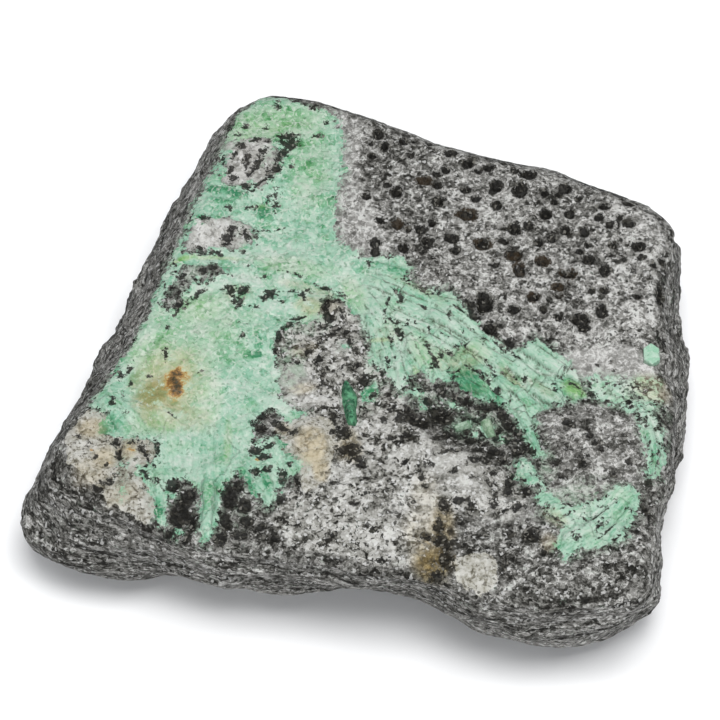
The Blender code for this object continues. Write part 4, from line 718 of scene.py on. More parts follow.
def bell(sigma):
    """Reach and weights of a Gaussian blur."""
    n = int(math.ceil(2.5 * sigma))
    w = np.exp(-0.5 * (np.arange(-n, n + 1) / sigma) ** 2)
    return n, w / w.sum()


def blur(grid, sigma):
    """Gaussian blur of a height map, sigma in cells."""
    n, w = bell(sigma)
    for axis in (0, 1):
        padded = np.pad(grid, [(n, n) if a == axis else (0, 0) for a in (0, 1)], mode="edge")
        grid = sum(w[k] * np.take(padded, np.arange(k, k + grid.shape[axis]), axis)
                   for k in range(2 * n + 1))
    return grid


def shifted(grid, dx, dy):
    return np.roll(np.roll(grid, dx, 1), dy, 0)


def grow(grid, pick):
    """Largest or smallest neighbour within a round reach."""
    out = grid.copy()
    for dx, dy in itertools.product(range(-PIT_REACH, PIT_REACH + 1), repeat=2):
        if dx * dx + dy * dy <= PIT_REACH * PIT_REACH + 1:
            out = pick(out, shifted(grid, dx, dy))
    return out


def face_map():
    mx, my = np.meshgrid(MAP_X, MAP_Y)
    everything = tree(*sorted(NODES))
    raw = drop(everything, np.column_stack((mx.ravel(), my.ravel())), 5.0).reshape(mx.shape)
    closed = grow(grow(raw, np.maximum), np.minimum)
    filled = np.where(closed > LOWEST_FACE, closed, np.nan)
    for _ in range(CARRY):
        total, count = np.zeros_like(filled), np.zeros_like(filled)
        for dx, dy in AROUND:
            beside = shifted(filled, dx, dy)
            known = ~np.isnan(beside)
            total[known] += beside[known]
            count[known] += 1
        fill = np.isnan(filled) & (count > 0)
        filled[fill] = total[fill] / count[fill]
    return blur(np.where(np.isnan(filled), EDGE_FACE, filled), 1.4)


FACE = face_map()


def face_height(xy):
    """The height map between its points."""
    u = np.clip((xy[:, 0] - MAP_X[0]) / MAP_STEP, 0, len(MAP_X) - 1.001)
    v = np.clip((xy[:, 1] - MAP_Y[0]) / MAP_STEP, 0, len(MAP_Y) - 1.001)
    iu, iv = u.astype(int), v.astype(int)
    fu, fv = u - iu, v - iv
    return ((FACE[iv, iu] * (1 - fu) + FACE[iv, iu + 1] * fu) * (1 - fv)
            + (FACE[iv + 1, iu] * (1 - fu) + FACE[iv + 1, iu + 1] * fu) * fv)


def foot_loop(name):
    """The closed plan outline of a node's flat bottom, counter-clockwise."""
    points, tri = welded(name)
    low = points[:, 2].min() + 0.02
    edges = {}
    for t in tri:
        if (points[t, 2] < low).all():
            edges.update(dict.fromkeys(((t[0], t[1]), (t[1], t[2]), (t[2], t[0]))))
    ahead = {a: b for (a, b) in edges if (b, a) not in edges}
    if not ahead:
        return None
    loops = []
    while ahead:
        here = next(iter(ahead))
        loop = []
        while here in ahead:
            loop.append(here)
            here = ahead.pop(here)
        loops.append(loop)
    ring = points[max(loops, key=len), :2]
    after = np.roll(ring, -1, 0)
    area = 0.5 * np.sum(ring[:, 0] * after[:, 1] - after[:, 0] * ring[:, 1])
    return ring if area > 0 else ring[::-1]


def even_ring(ring, step):
    """The ring cut to even steps."""
    length = np.hypot(*(np.roll(ring, -1, 0) - ring).T)
    total = np.concatenate(([0.0], np.cumsum(length)))
    n = max(8, int(round(total[-1] / step)))
    at = np.arange(n) * total[-1] / n
    closed_ring = np.vstack((ring, ring[:1]))
    return np.column_stack([np.interp(at, total, closed_ring[:, k]) for k in (0, 1)])


FEET = {name: loop for name in CRYSTALS if (loop := foot_loop(name)) is not None}


# ---------------------------------------------------------------- painting the plan
def crystal_frame(xy):
    """The zone of alike crystals that each point is in, its position along and across them,
    their length and width, and 0 at the zone's border to 1 within."""
    p = xy + drift(xy, 2.6, 801, 2) * 1.3
    best, zone = np.full(len(xy), 1e9), np.zeros(len(xy), int)
    second = best.copy()
    for k, (x, y, *_) in enumerate(ZONES):
        d = np.hypot(p[:, 0] - x, p[:, 1] - y)
        near = d < best
        second = np.where(near, best, np.minimum(second, d))
        best, zone = np.where(near, d, best), np.where(near, k, zone)
    _, _, heading, length, width = np.array(ZONES)[zone].T
    turn = np.radians(heading)
    u = xy[:, 0] * np.cos(turn) + xy[:, 1] * np.sin(turn)
    v = xy[:, 1] * np.cos(turn) - xy[:, 0] * np.sin(turn)
    return zone, u, v, length, width, soft(second - best, 0.0, 1.1)


def bricks(xy, zone, u, v, length, width):
    """Long staggered blocks: the block's hash, place in it (-0.5..0.5) and mm to its edge."""
    vv = v / width + 0.45 * plan_noise(xy, 3.0, 23, 2) + 0.12 * plan_noise(xy, 0.9, 24, 1)
    vv = vv + 0.22 * np.sin(vv * 2.3 + zone)
    row = np.floor(vv)
    uu = u / length + 3.1 * lattice(row, zone, zone * 0, 44) + 0.25 * plan_noise(xy, 1.3, 25, 2)
    col = np.floor(uu)
    fu, fv = uu - col, vv - row
    gap = np.minimum(np.minimum(fv, 1 - fv) * width, np.minimum(fu, 1 - fu) * length)
    return lattice(row, col, zone, 41), fu - 0.5, fv - 0.5, gap


def lumps_of(xy):
    """The sugary crystal's larger grains: their hash and the offset to their middle."""
    bend = 0.30 * plan_noise(xy, 1.6, 21, 2)
    return cells(xy[:, 0] / 1.5 + bend, xy[:, 1] / 1.5 + bend, 43)[:3]


def fibrous(xy):
    """1 where crystals are long and lie side by side, 0 where they are sugary grains."""
    ragged = 1.4 * plan_noise(xy, 2.4, 26, 3)
    long = soft(deepest(xy, BELT_AREA, FRONT_RIGHT) + ragged, -1.6, 1.2)
    fingers = soft(ring_distance(xy, FINGER_AREA) + ragged, -3.0, 2.0)
    return np.maximum(long, 0.55 * fingers)


def chance(k, n):
    """Number n, in -0.5..0.5, of single crystal k."""
    return lattice(*np.array([[k], [n], [0]]), 7)[0] - 0.5


def prisms(xy):
    """The long single crystals: height, tone, how far on one a point is, and on its rim, which is
    painted dark as a crevice: partly brown fill, partly painted shade.
    """
    lift, tone, on, edge = (np.zeros(len(xy)) for _ in range(4))
    wave = drift(xy, 1.1, 31, 2) * 0.10
    for k, (x0, y0, x1, y1, width, high, deep) in enumerate(PRISMS):
        mid, half = np.array(((x0 + x1) / 2, (y0 + y1) / 2)), math.hypot(x1 - x0, y1 - y0) / 2
        near = np.nonzero(np.hypot(*(xy - mid).T) < half + width)[0]
        ahead = np.array((x1 - x0, y1 - y0)) / (2 * half)
        d = xy[near] + wave[near] - mid
        u, v = d @ ahead, d @ np.array((-ahead[1], ahead[0]))
        to_end, to_side = half - np.abs(u), width / 2 - np.abs(v)
        inner = np.minimum(to_end - 0.35 * chance(k, 1) * v, to_side)
        lean = 0.5 * chance(k, 2)
        flank = np.maximum(np.abs(v) - 0.30 * width, 0) + 0.6 * np.maximum(0.35 - to_end, 0)
        roof = ((0.7 * high + 0.1) * soft(inner, -0.14, 0.26)
                + (0.6 * lean * v - 0.45 * flank) * soft(inner, 0, 0.2))
        here = (inner > -0.12) & (roof >= lift[near] - 0.02)
        lift[near[here]] = roof[here]
        tone[near[here]] = deep
        on[near[here]] = soft(inner[here], -0.08, 0.06)
        rim = soft(0.15 - np.abs(inner + 0.02), 0, 0.12) * (inner < 0.14)
        edge[near] = np.maximum(np.where(here, 0, edge[near]), rim)
    return lift, tone, on, edge


def green_depth(xy, bent, ragged):
    """Distance inside the green crystal, in mm. Its holes in the back block have torn rims."""
    green = np.maximum.reduce([np.minimum(ring_distance(bent, smooth_ring(ring)), most)
                               for ring, most in GREEN_RINGS])
    torn = 1.5 * plan_noise(xy, 1.7, 17, 3) + 0.15
    for ring, fray in GREEN_HOLES:
        green = np.minimum(green, -ring_distance(bent, smooth_ring(ring)) + fray * torn)
    return np.maximum(green, strokes(ragged, GREEN_SPOTS))


def ground_tone(co, side, bent, field, light, band, boss):
    """How light the schist is, about 0..1."""
    xy = co[:, :2]
    x, y = xy.T
    # the recess below the belt lies in shade: its ground is darkened with painted shade
    recess = soft(ring_distance(bent, smooth_ring(RECESS_GROUND)), -0.6, 0.5)
    tone = 0.41 + 0.14 * field + 0.11 * boss - 0.10 * recess + 0.37 * light
    # two dark places of the field, and its lighter right end
    tone += field * (-0.13 * soft(3.2 - np.hypot((x - 7.0) / 2.2, (y - 25.0) / 2.6), 0, 2)
                     - 0.10 * soft(2.6 - np.hypot((x - 9.5) / 2.6, (y - 8.8) / 2.0), 0, 2)
                     + 0.10 * soft(x, 28, 36))
    tone = np.maximum(tone, 0.70 * band)
    left_corner = soft(-26 - x - 0.3 * (y + 30), -3, 3)
    tone += 0.07 * plan_noise(xy, 3.4, 15, 3) - 0.07 * left_corner + 0.02
    side_tone = 0.47 + 0.09 * plan_noise(xy + co[:, 2:3], 5.0, 16, 3) - 0.05 * soft(-24 - x, -2, 2)
    return tone * (1 - side) + side * side_tone


def crystal_paint(xy):
    """Shade and cracks of the crystals, and the position along and across their fibres. The cracks are
    dark crevices: partly brown fill, partly painted shade.
    """
    zone, u, v, length, width, within = crystal_frame(xy)
    fib = fibrous(xy)
    ident, _, _, gap = bricks(xy, zone, u, v, length, width)
    lump = lumps_of(xy)[0]
    shade = (ident - 0.5) * 1.3 * fib * within + (lump - 0.5) * 0.6 * (1 - fib)
    _, prism_tone, on, prism_edge = prisms(xy)
    shade = shade * (1 - 0.7 * on) + on * 1.1 * prism_tone
    belt = soft(ring_distance(xy, BELT_AREA), -1.0, 1.0)
    crack = soft(0.16 - gap, 0.0, 0.14) * (0.15 * fib + 0.55 * belt) * (1 - on) * within
    # prism rims join the cracks: dark crevices of brown fill and painted shade
    crack = np.maximum(crack, prism_edge * (0.35 + 0.65 * belt))
    return shade, crack, np.column_stack((u, v, fib))


def paint(co, side):
    """Masks of every vertex, from its plan position. side is 1 on the slab's sides."""
    xy = co[:, :2]
    bent = xy + 0.36 * drift(xy, 0.9, 11, 3) + 0.42 * drift(xy, 2.6, 13, 2)
    ragged = frayed(xy)

    def area(low, high, *rings):
        return soft(deepest(bent, *map(smooth_ring, rings)), low, high)

    block_holes = deepest(xy, BACK_MOTTLE, BACK_WHITE)
    white = area(-0.5, 0.6, WHITE_GROUND, BACK_MOTTLE, BACK_WHITE)
    cream = area(-0.25, 0.35, CREAM_LEFT, CREAM_MIDDLE, CREAM_NODULE)
    field = soft(ring_distance(bent, FIELD), -0.5, 0.5)
    boss = area(-0.6, 0.6, BOSS_GROUND)
    light = area(-0.8, 0.8, RIGHT_LIGHT)
    band = area(-0.6, 0.7, LIGHT_BAND)
    calm = np.maximum.reduce([patches(ragged, CALM), 0.9 * light, 0.5 * band, 0.3 * boss,
                              0.75 * soft(block_holes, -0.6, 0.4)])
    tone = ground_tone(co, side, bent, field, light, band, boss)
    pale = soft(block_holes, -0.8, 0.6)
    shade, crack, grain = crystal_paint(xy)
    green = green_depth(xy, bent, ragged)
    # dark strokes: black mica, and along the belt thin lines of painted shade
    dark = strokes(ragged, MICA_AND_PAINTED_SHADE)
    pit = strokes(ragged, PIT_STROKES)
    rust, warm, whiter, deeper, yellower, olive, tint, brown = (
        patches(ragged, rows) for rows in (RUST, WARM, WHITER, DEEPER, YELLOWER, OLIVE_FLOORS,
                                           TINT, BROWN))
    return {
        "mask_a": np.column_stack((green, dark, pit)),
        "mask_b": np.column_stack((white, cream, rust)),
        "mask_c": np.column_stack((side, tone, warm)),
        "mask_d": np.column_stack((whiter, deeper, yellower)),
        "mask_e": np.column_stack((shade, crack, olive)),
        "mask_f": np.column_stack((calm, tint, brown)),
        "mask_g": np.column_stack((pale, pale, pale)),
        "grain": grain,
    }


# ---------------------------------------------------------------- meshes
def make_object(name, verts, faces, masks, mat):
    """A smooth-shaded piece from plan vertices, with its masks as vertex attributes."""
    mesh = bpy.data.meshes.new(name)
    verts = to_row(verts)
    mesh.vertices.add(len(verts))
    mesh.vertices.foreach_set("co", verts.astype(np.float32).ravel())
    counts = np.array([len(f) for f in faces], np.int32)
    corners = np.fromiter((i for f in faces for i in f), np.int32, counts.sum())
    mesh.loops.add(len(corners))
    mesh.loops.foreach_set("vertex_index", corners)
    mesh.polygons.add(len(faces))
    starts = np.concatenate(([0], np.cumsum(counts)[:-1])).astype(np.int32)
    mesh.polygons.foreach_set("loop_start", starts)
    mesh.polygons.foreach_set("loop_total", counts)
    mesh.update(calc_edges=True)
    mesh.validate()
    for key, value in masks.items():
        layer = mesh.attributes.new(key, "FLOAT_VECTOR", "POINT")
        layer.data.foreach_set("vector", value.astype(np.float32).ravel())
    mesh.polygons.foreach_set("use_smooth", np.ones(len(mesh.polygons), bool))
    mesh.materials.append(mat)
    obj = bpy.data.objects.new(name, mesh)
    bpy.context.scene.collection.objects.link(obj)
    return obj


def hex_points(ring, step, seed, keep=None):
    """A jittered six-way grid of points inside a ring."""
    lo, hi = ring.min(0), ring.max(0)
    rows = np.arange(lo[1], hi[1], step * 0.866)
    out = []
    for k, y in enumerate(rows):
        xs = np.arange(lo[0] + (k % 2) * step / 2, hi[0], step)
        out.append(np.column_stack((xs, np.full(len(xs), y))))
    pts = np.vstack(out)
    i = np.arange(len(pts), dtype=float)
    for axis in (0, 1):
        pts[:, axis] += (lattice(i, i * 0 + axis, i * 0, seed) - 0.5) * step * 0.5
    if keep is not None:
        pts = pts[keep(pts)]
    return pts[ring_distance(pts, ring) > step * 0.45]


def triangulate(ring, points):
    """Triangles over a ring and the points in it; the ring's points come first."""
    n = len(ring)
    pts = np.vstack((ring, points))
    edges = [(i, (i + 1) % n) for i in range(n)]
    _, _, faces, origin, _, _ = delaunay_2d_cdt([Vector(c) for c in pts], edges, [], 1, 1e-6)
    place = np.array([o[0] if o else -1 for o in origin])
    if (place < 0).any():
        raise RuntimeError("the outline crosses itself")
    tri = place[np.array([list(f) for f in faces])]
    a, b, c = pts[tri[:, 0]], pts[tri[:, 1]], pts[tri[:, 2]]
    area = (b[:, 0] - a[:, 0]) * (c[:, 1] - a[:, 1]) - (b[:, 1] - a[:, 1]) * (c[:, 0] - a[:, 0])
    tri[area < 0] = tri[area < 0][:, ::-1]
    return tri


def cover(xy):
    """How far inside a crystal's outline each point is, negative outside all of them."""
    best = np.full(len(xy), -9.0)
    for ring in FEET.values():
        lo, hi = ring.min(0) - 2.0, ring.max(0) + 2.0
        near = np.nonzero(((xy > lo) & (xy < hi)).all(1))[0]
        best[near] = np.maximum(best[near], ring_distance(xy[near], ring))
    return best


def lone_depth(xy):
    """How far inside a single prism's plan each point is."""
    x, y, radius = HEXAGON_PLAN
    best = radius - np.hypot(xy[:, 0] - x, xy[:, 1] - y)
    for x, y, length, width, heading in LONE_PLAN:
        u, v = turned(xy, x, y, heading)
        best = np.maximum(best, np.minimum(length - np.abs(u), width - np.abs(v)))
    return best


# ---- the slab
TRENCH = 0.7             # how far the rock's face lies lower round a single prism, mm
UNDER_CRYSTALS = 1.1     # and under a crystal mass
RIM_IN = 0.95            # how far the face's rim lies inside the solid's shoulder
SHOULDER = 19.0          # the height where that shoulder is measured
LEDGE, LUMP, GRAIN = 0.36, 0.36, 0.21    # relief of the sides, large to small


def ground_relief(xy):
    """Fine height of the rock's face over the smoothed CAD face."""
    p3 = flat(xy)
    h = 0.10 * fractal(p3 / 1.7, 61, 2) + 0.10 * fractal(p3 / 0.62, 63, 2)
    ident, _, _, gap = cells(*(xy / 0.75).T, 65)
    h += 0.16 * (ident - 0.5) * soft(gap, 0.0, 0.25)
    ragged = frayed(xy)
    pit = strokes(ragged, PIT_STROKES)
    h -= 0.95 * soft(pit, -0.2, 0.5) - 0.10 * soft(pit, -0.6, -0.25)
    h -= 0.22 * soft(strokes(ragged, MICA_AND_PAINTED_SHADE), -0.15, 0.35)
    white = soft(ring_distance(xy, smooth_ring(WHITE_GROUND)), -0.5, 0.8)
    lump, _, _, lump_gap = cells(*(xy / 1.5).T, 67)
    lumps = 0.30 * (lump - 0.45) * soft(lump_gap, 0.0, 0.3)
    h += white * (lumps + 0.12 * fractal(p3 / 0.9, 69, 2))
    return h - TRENCH * soft(lone_depth(xy), -0.2, 0.2)


def turn_blur(values, sigma):
    """Gaussian blur round the slab, sigma in columns."""
    n, w = bell(sigma)
    return sum(w[k + n] * np.roll(values, k, 0) for k in range(-n, n + 1))


def radius_finder(ray):
    """A call that gives the solid slab's radius in column k at a height."""
    rock = tree("matrix")
    x, y = LOFT_CENTRE

    def radius(k, z):
        start = Vector((x + 90 * ray[k, 0], y + 90 * ray[k, 1], z))
        hit = rock.ray_cast(start, Vector((-ray[k, 0], -ray[k, 1], 0)))[0]
        return math.hypot(hit.x - x, hit.y - y) if hit else np.nan

    return radius


def side_radii(radius, rim_r, level):
    """The side's radius at every column and row, with the solid's facets softened."""
    grid = np.array([[radius(k, max(z, 0.06)) for z in column] for k, column in enumerate(level)])
    missed = np.isnan(grid)
    grid[missed] = np.broadcast_to(rim_r[:, None] + 0.4, grid.shape)[missed]
    grid = turn_blur(grid, 2.2)
    for _ in range(3):
        padded = np.pad(grid, ((0, 0), (1, 1)), mode="edge")
        mean = 0.25 * padded[:, :-2] + 0.5 * padded[:, 1:-1] + 0.25 * padded[:, 2:]
        grid[:, 1:-1] = mean[:, 1:-1]
    grid[:, 0] = np.maximum(grid[:, 0], rim_r + 0.25)
    return grid


def foliate(pos, out, depth):
    """The side's points moved out and in: long thin ledges, lumps and grains."""
    sheet = pos.copy()
    sheet[:, 2] += 0.9 * plan_noise(pos[:, :2], 9.0, 71, 2)
    ledge = fractal(sheet / np.array((4.2, 4.2, 0.75)), 73, 3)
    lumps = fractal(pos / 2.6, 75, 2)
    grains = fractal(pos / np.array((0.9, 0.9, 0.55)), 77, 2)
    push = LEDGE * ledge + LUMP * lumps + GRAIN * grains
    push *= soft(depth, 0.0, 0.05) * soft(pos[:, 2], -0.2, 1.2)
    side = pos.copy()
    side[:, :2] += out * push[:, None]
    side[:, 2] += np.where((depth > 0.04) & (pos[:, 2] > 0.6), 0.08 * grains, 0.0)
    side[:, 2] = np.maximum(side[:, 2], 0.0)
    side[depth >= 1.0, 2] = 0.0
    return side


def slab_face(rim, rim_z):
    """Points and triangles of the broad face, coarse where crystals hide it."""
    shown = hex_points(rim, FACE_STEP, 5, lambda pts: cover(pts) < 1.1)
    hidden = hex_points(rim, UNDER_STEP, 6, lambda pts: cover(pts) >= 1.3)
    points = np.vstack((shown, hidden))
    xy = np.vstack((rim, points))
    z = face_height(xy)
    z[:len(rim)] = rim_z
    relief = ground_relief(xy)
    relief[:len(rim)] *= 0.6
    z += relief
    z -= UNDER_CRYSTALS * soft(cover(xy), 0.45, 1.15)
    return np.column_stack((xy, z)), triangulate(rim, points).tolist()


def slab_masks(verts, face_count, rim, depth):
    """The slab's masks: green, mica and stains run a little over the edge only."""
    face = verts[:face_count, :2]
    sideness = np.ones(len(verts))
    torn = 0.6 * plan_noise(face, 1.6, 91, 3)
    sideness[:face_count] = soft(0.9 + torn - ring_distance(face, rim[::4]), 0.0, 0.9)
    sideness[face_count:-1] = np.where(depth < 0.03, 0.8, 1.0)
    masks = paint(verts, sideness)
    over = 19.2 + 0.8 * plan_noise(verts[:, :2], 1.2, 93, 2)
    low = np.clip((over - verts[:, 2]) / 0.8, 0, 1)
    low[:face_count] = 0
    high = (1 - low)[:, None]
    masks["mask_a"] = masks["mask_a"] * high - STROKE_REACH * low[:, None]
    masks["mask_b"] *= high
    masks["mask_f"] *= high
    masks["mask_c"][:, 2] *= 1 - low
    return masks


def build_rock(mat):
    """The whole slab: its face, its foliated side and its underside."""
    theta = np.arange(SIDE_TURNS) * 2 * math.pi / SIDE_TURNS
    ray = np.column_stack((np.cos(theta), np.sin(theta)))
    radius = radius_finder(ray)
    rim_r = turn_blur(np.array([radius(k, SHOULDER) for k in range(SIDE_TURNS)]), 3.0) - RIM_IN
    rim = LOFT_CENTRE + ray * rim_r[:, None]
    chips = plan_noise(rim, 1.2, 81, 3) + 0.8 * plan_noise(rim, 3.0, 82, 2)
    rim_r = rim_r + 0.45 * chips
    rim = LOFT_CENTRE + ray * rim_r[:, None]
    rim_z = turn_blur(face_height(rim), 2.0) + 0.24 * chips

    share = np.linspace(0, 1, SIDE_ROWS + 1)[1:] ** 1.08
    level = np.maximum((rim_z[:, None] - 0.25) * (1 - share), 0.0)
    grid = side_radii(radius, rim_r, level)
    x, y = (LOFT_CENTRE[axis] + ray[:, None, axis] * grid for axis in (0, 1))
    pos = np.stack((x, y, level), -1).reshape(-1, 3)
    depth = np.tile(share, SIDE_TURNS)
    side = foliate(pos, np.repeat(ray, SIDE_ROWS, axis=0), depth)

    face, faces = slab_face(rim, rim_z)
    verts = np.vstack((face, side, [[*LOFT_CENTRE, 0.0]]))

    def at(k, j):
        k %= SIDE_TURNS
        return k if j < 0 else len(face) + k * SIDE_ROWS + j

    for k in range(SIDE_TURNS):
        for j in range(-1, SIDE_ROWS - 1):
            faces.append((at(k, j), at(k, j + 1), at(k + 1, j + 1), at(k + 1, j)))
        faces.append((at(k, SIDE_ROWS - 1), len(verts) - 1, at(k + 1, SIDE_ROWS - 1)))
    masks = slab_masks(verts, len(face), rim, depth)
    return make_object("schist_matrix", verts, faces, masks, mat)


# ---- the crystals that lie in the face
def crystal_relief(xy):
    """Small facets of the crystals, in mm."""
    zone, u, v, length, width, within = crystal_frame(xy)
    fib = fibrous(xy)
    ident, du, dv, gap = bricks(xy, zone, u, v, length, width)
    tilt = lattice(np.round(ident * 1e6), zone, zone * 0, 45) - 0.5
    long = (0.34 * (ident - 0.5) + 0.35 * tilt * dv + 0.20 * tilt * du
            - 0.16 * soft(0.22 - gap, 0, 0.2)) * within
    big, bu, bv = lumps_of(xy)
    big_tilt = lattice(np.round(big * 1e6), zone * 0, zone * 0, 47) - 0.5
    bend = 0.30 * plan_noise(xy, 1.6, 21, 2)
    little = cells(xy[:, 0] / 0.62 + bend, xy[:, 1] / 0.62 - bend, 48)[0]
    sugar = (0.16 * (big - 0.5) + 0.40 * big_tilt * bu + 0.20 * (big_tilt ** 2 - 0.1) * bv
             + 0.16 * (little - 0.5))
    lift, _, on, _ = prisms(xy)
    h = (fib * long + (1 - fib) * sugar) * (1 - 0.85 * on)
    strands = 0.05 * fib * fractal(np.column_stack((u / 1.5, v / 0.55, zone)), 49, 3)
    crumbs = 0.08 * fractal(flat(xy / 0.8), 50, 3)
    return h + (strands + crumbs) * (1 - 0.7 * on) + lift


def crystal_top(name, xy, ring, base):
    """Height of a crystal's top, which sinks into the rock at its rim."""
    # the solid's own top, just inside its edge
    z = drop(tree(name), xy, np.nan)
    z = np.where(np.isnan(z) | (z < base - 2.5), base, z)
    h = 0.35 * z + 0.65 * base + crystal_relief(xy)
    h -= 0.25 * soft(strokes(frayed(xy), MICA_AND_PAINTED_SHADE), -0.12, 0.3)
    hole = soft(deepest(xy, BACK_MOTTLE, BACK_WHITE, SCHIST_ISLAND), -0.3, 0.5)
    h = h * (1 - hole) + hole * (base + ground_relief(xy) + 0.05)
    torn = 0.22 * plan_noise(xy, 0.8, 95, 3) + 0.16 * plan_noise(xy, 2.2, 96, 2)
    rise = soft(ring_distance(xy, ring) + 0.6 * torn, 0.0, 0.42)
    return (base - 0.75) * (1 - rise) + h * rise


def build_crystal(name, made, mat, step):
    """A fine closed piece over a crystal node that lies in the face."""
    ring = even_ring(FEET[name], max(step * 1.4, 0.25))
    points = hex_points(ring, step, 7)
    n = len(ring)
    xy = np.vstack((ring, points))
    base = face_height(xy)
    h = crystal_top(name, xy, ring, base)
    h[:n] = base[:n] - 0.9
    floor_z = solid(name)[0][:, 2].min()
    verts = np.vstack((np.column_stack((xy, h)), np.column_stack((ring, np.full(n, floor_z)))))
    top = len(xy)
    faces = triangulate(ring, points).tolist()
    faces += [(a + top, c + top, b + top) for a, b, c in triangulate(ring, points[:0]).tolist()]
    for i in range(n):
        j = (i + 1) % n
        faces.append((i, top + i, top + j, j))
    return make_object(made, verts, faces, paint(verts, np.zeros(len(verts))), mat)


# ---- the single prisms
LEAN = 0.5      # how far a wide part of a prism swells to the right, in mm for twice the width
CUT = 0.3       # a prism's longest edge, mm


def worn_mesh(name, wear):
    """The node's solid with rounded edges and even triangles: vertices, normals and faces."""
    points, tri = welded(name)
    bm = bmesh.new()
    corner = [bm.verts.new(p) for p in points]
    for t in tri:
        if len(set(t)) == 3:
            try:
                bm.faces.new([corner[i] for i in t])
            except ValueError:
                pass
    bmesh.ops.recalc_face_normals(bm, faces=bm.faces)
    bmesh.ops.dissolve_limit(bm, angle_limit=0.02, verts=bm.verts, edges=bm.edges)
    bmesh.ops.bevel(bm, geom=list(bm.edges), offset=wear, segments=2, profile=0.6,
                    affect="EDGES", clamp_overlap=True)
    bmesh.ops.triangulate(bm, faces=bm.faces)
    for _ in range(5):
        long = [e for e in bm.edges if e.calc_length() > CUT]
        if not long:
            break
        bmesh.ops.subdivide_edges(bm, edges=long, cuts=1, use_grid_fill=True)
        bmesh.ops.triangulate(bm, faces=bm.faces)
    bm.normal_update()
    verts = np.array([v.co[:] for v in bm.verts])
    normals = np.array([v.normal[:] for v in bm.verts])
    bm.verts.index_update()
    faces = [tuple(v.index for v in f.verts) for f in bm.faces]
    bm.free()
    return verts, normals, faces


def build_lone(name, made, mat, wear, profile):
    """A single prism: the node's solid with worn, slightly uneven faces and edges.

    The profile is (share of the length from the far end, width as a share of the solid's).
    """
    verts, normals, faces = worn_mesh(name, wear)
    plan = verts[:, :2] - verts[:, :2].mean(0)
    ahead = np.linalg.svd(plan, full_matrices=False)[2][0]
    ahead *= -1 if ahead[1] > 0 else 1
    aside = np.array((-ahead[1], ahead[0]))
    along, across = plan @ ahead, plan @ aside
    share = (along - along.min()) / (along.max() - along.min())
    wider = np.interp(share, *zip(*profile)) - 1
    verts[:, :2] += aside * (across * wider + LEAN * np.maximum(wider, 0))[:, None]
    dent = 0.10 * (0.5 + 0.5 * fractal(verts / 0.9, 97, 3))
    dent += 0.03 * (1 + fractal(verts / 0.35, 98, 2))
    return make_object(made, verts - normals * dent[:, None], faces, {}, mat)


# ---------------------------------------------------------------- materials
GAIN = 0.83       # albedo for a colour as it is seen under the studio light


def linear(rgb):
    """The base colour that shows as an sRGB colour of 0..255 under the studio light."""
    out = []
    for c in rgb:
        c /= 255.0
        c = c / 12.92 if c <= 0.04045 else ((c + 0.055) / 1.055) ** 2.4
        out.append(min(c * GAIN, 0.92))
    return (*out, 1.0)


class Value:
    """A number or vector that a node gives; +, - and * add Math nodes."""

    def __init__(self, nodes, socket):
        self.nodes = nodes
        self.socket = socket

    def __add__(self, other):
        return self.nodes.math("ADD", self, other)

    def __sub__(self, other):
        return self.nodes.math("SUBTRACT", self, other)

    def __rsub__(self, other):
        return self.nodes.math("SUBTRACT", other, self)

    def __mul__(self, other):
        return self.nodes.math("MULTIPLY", self, other)

    __radd__ = __add__
    __rmul__ = __mul__


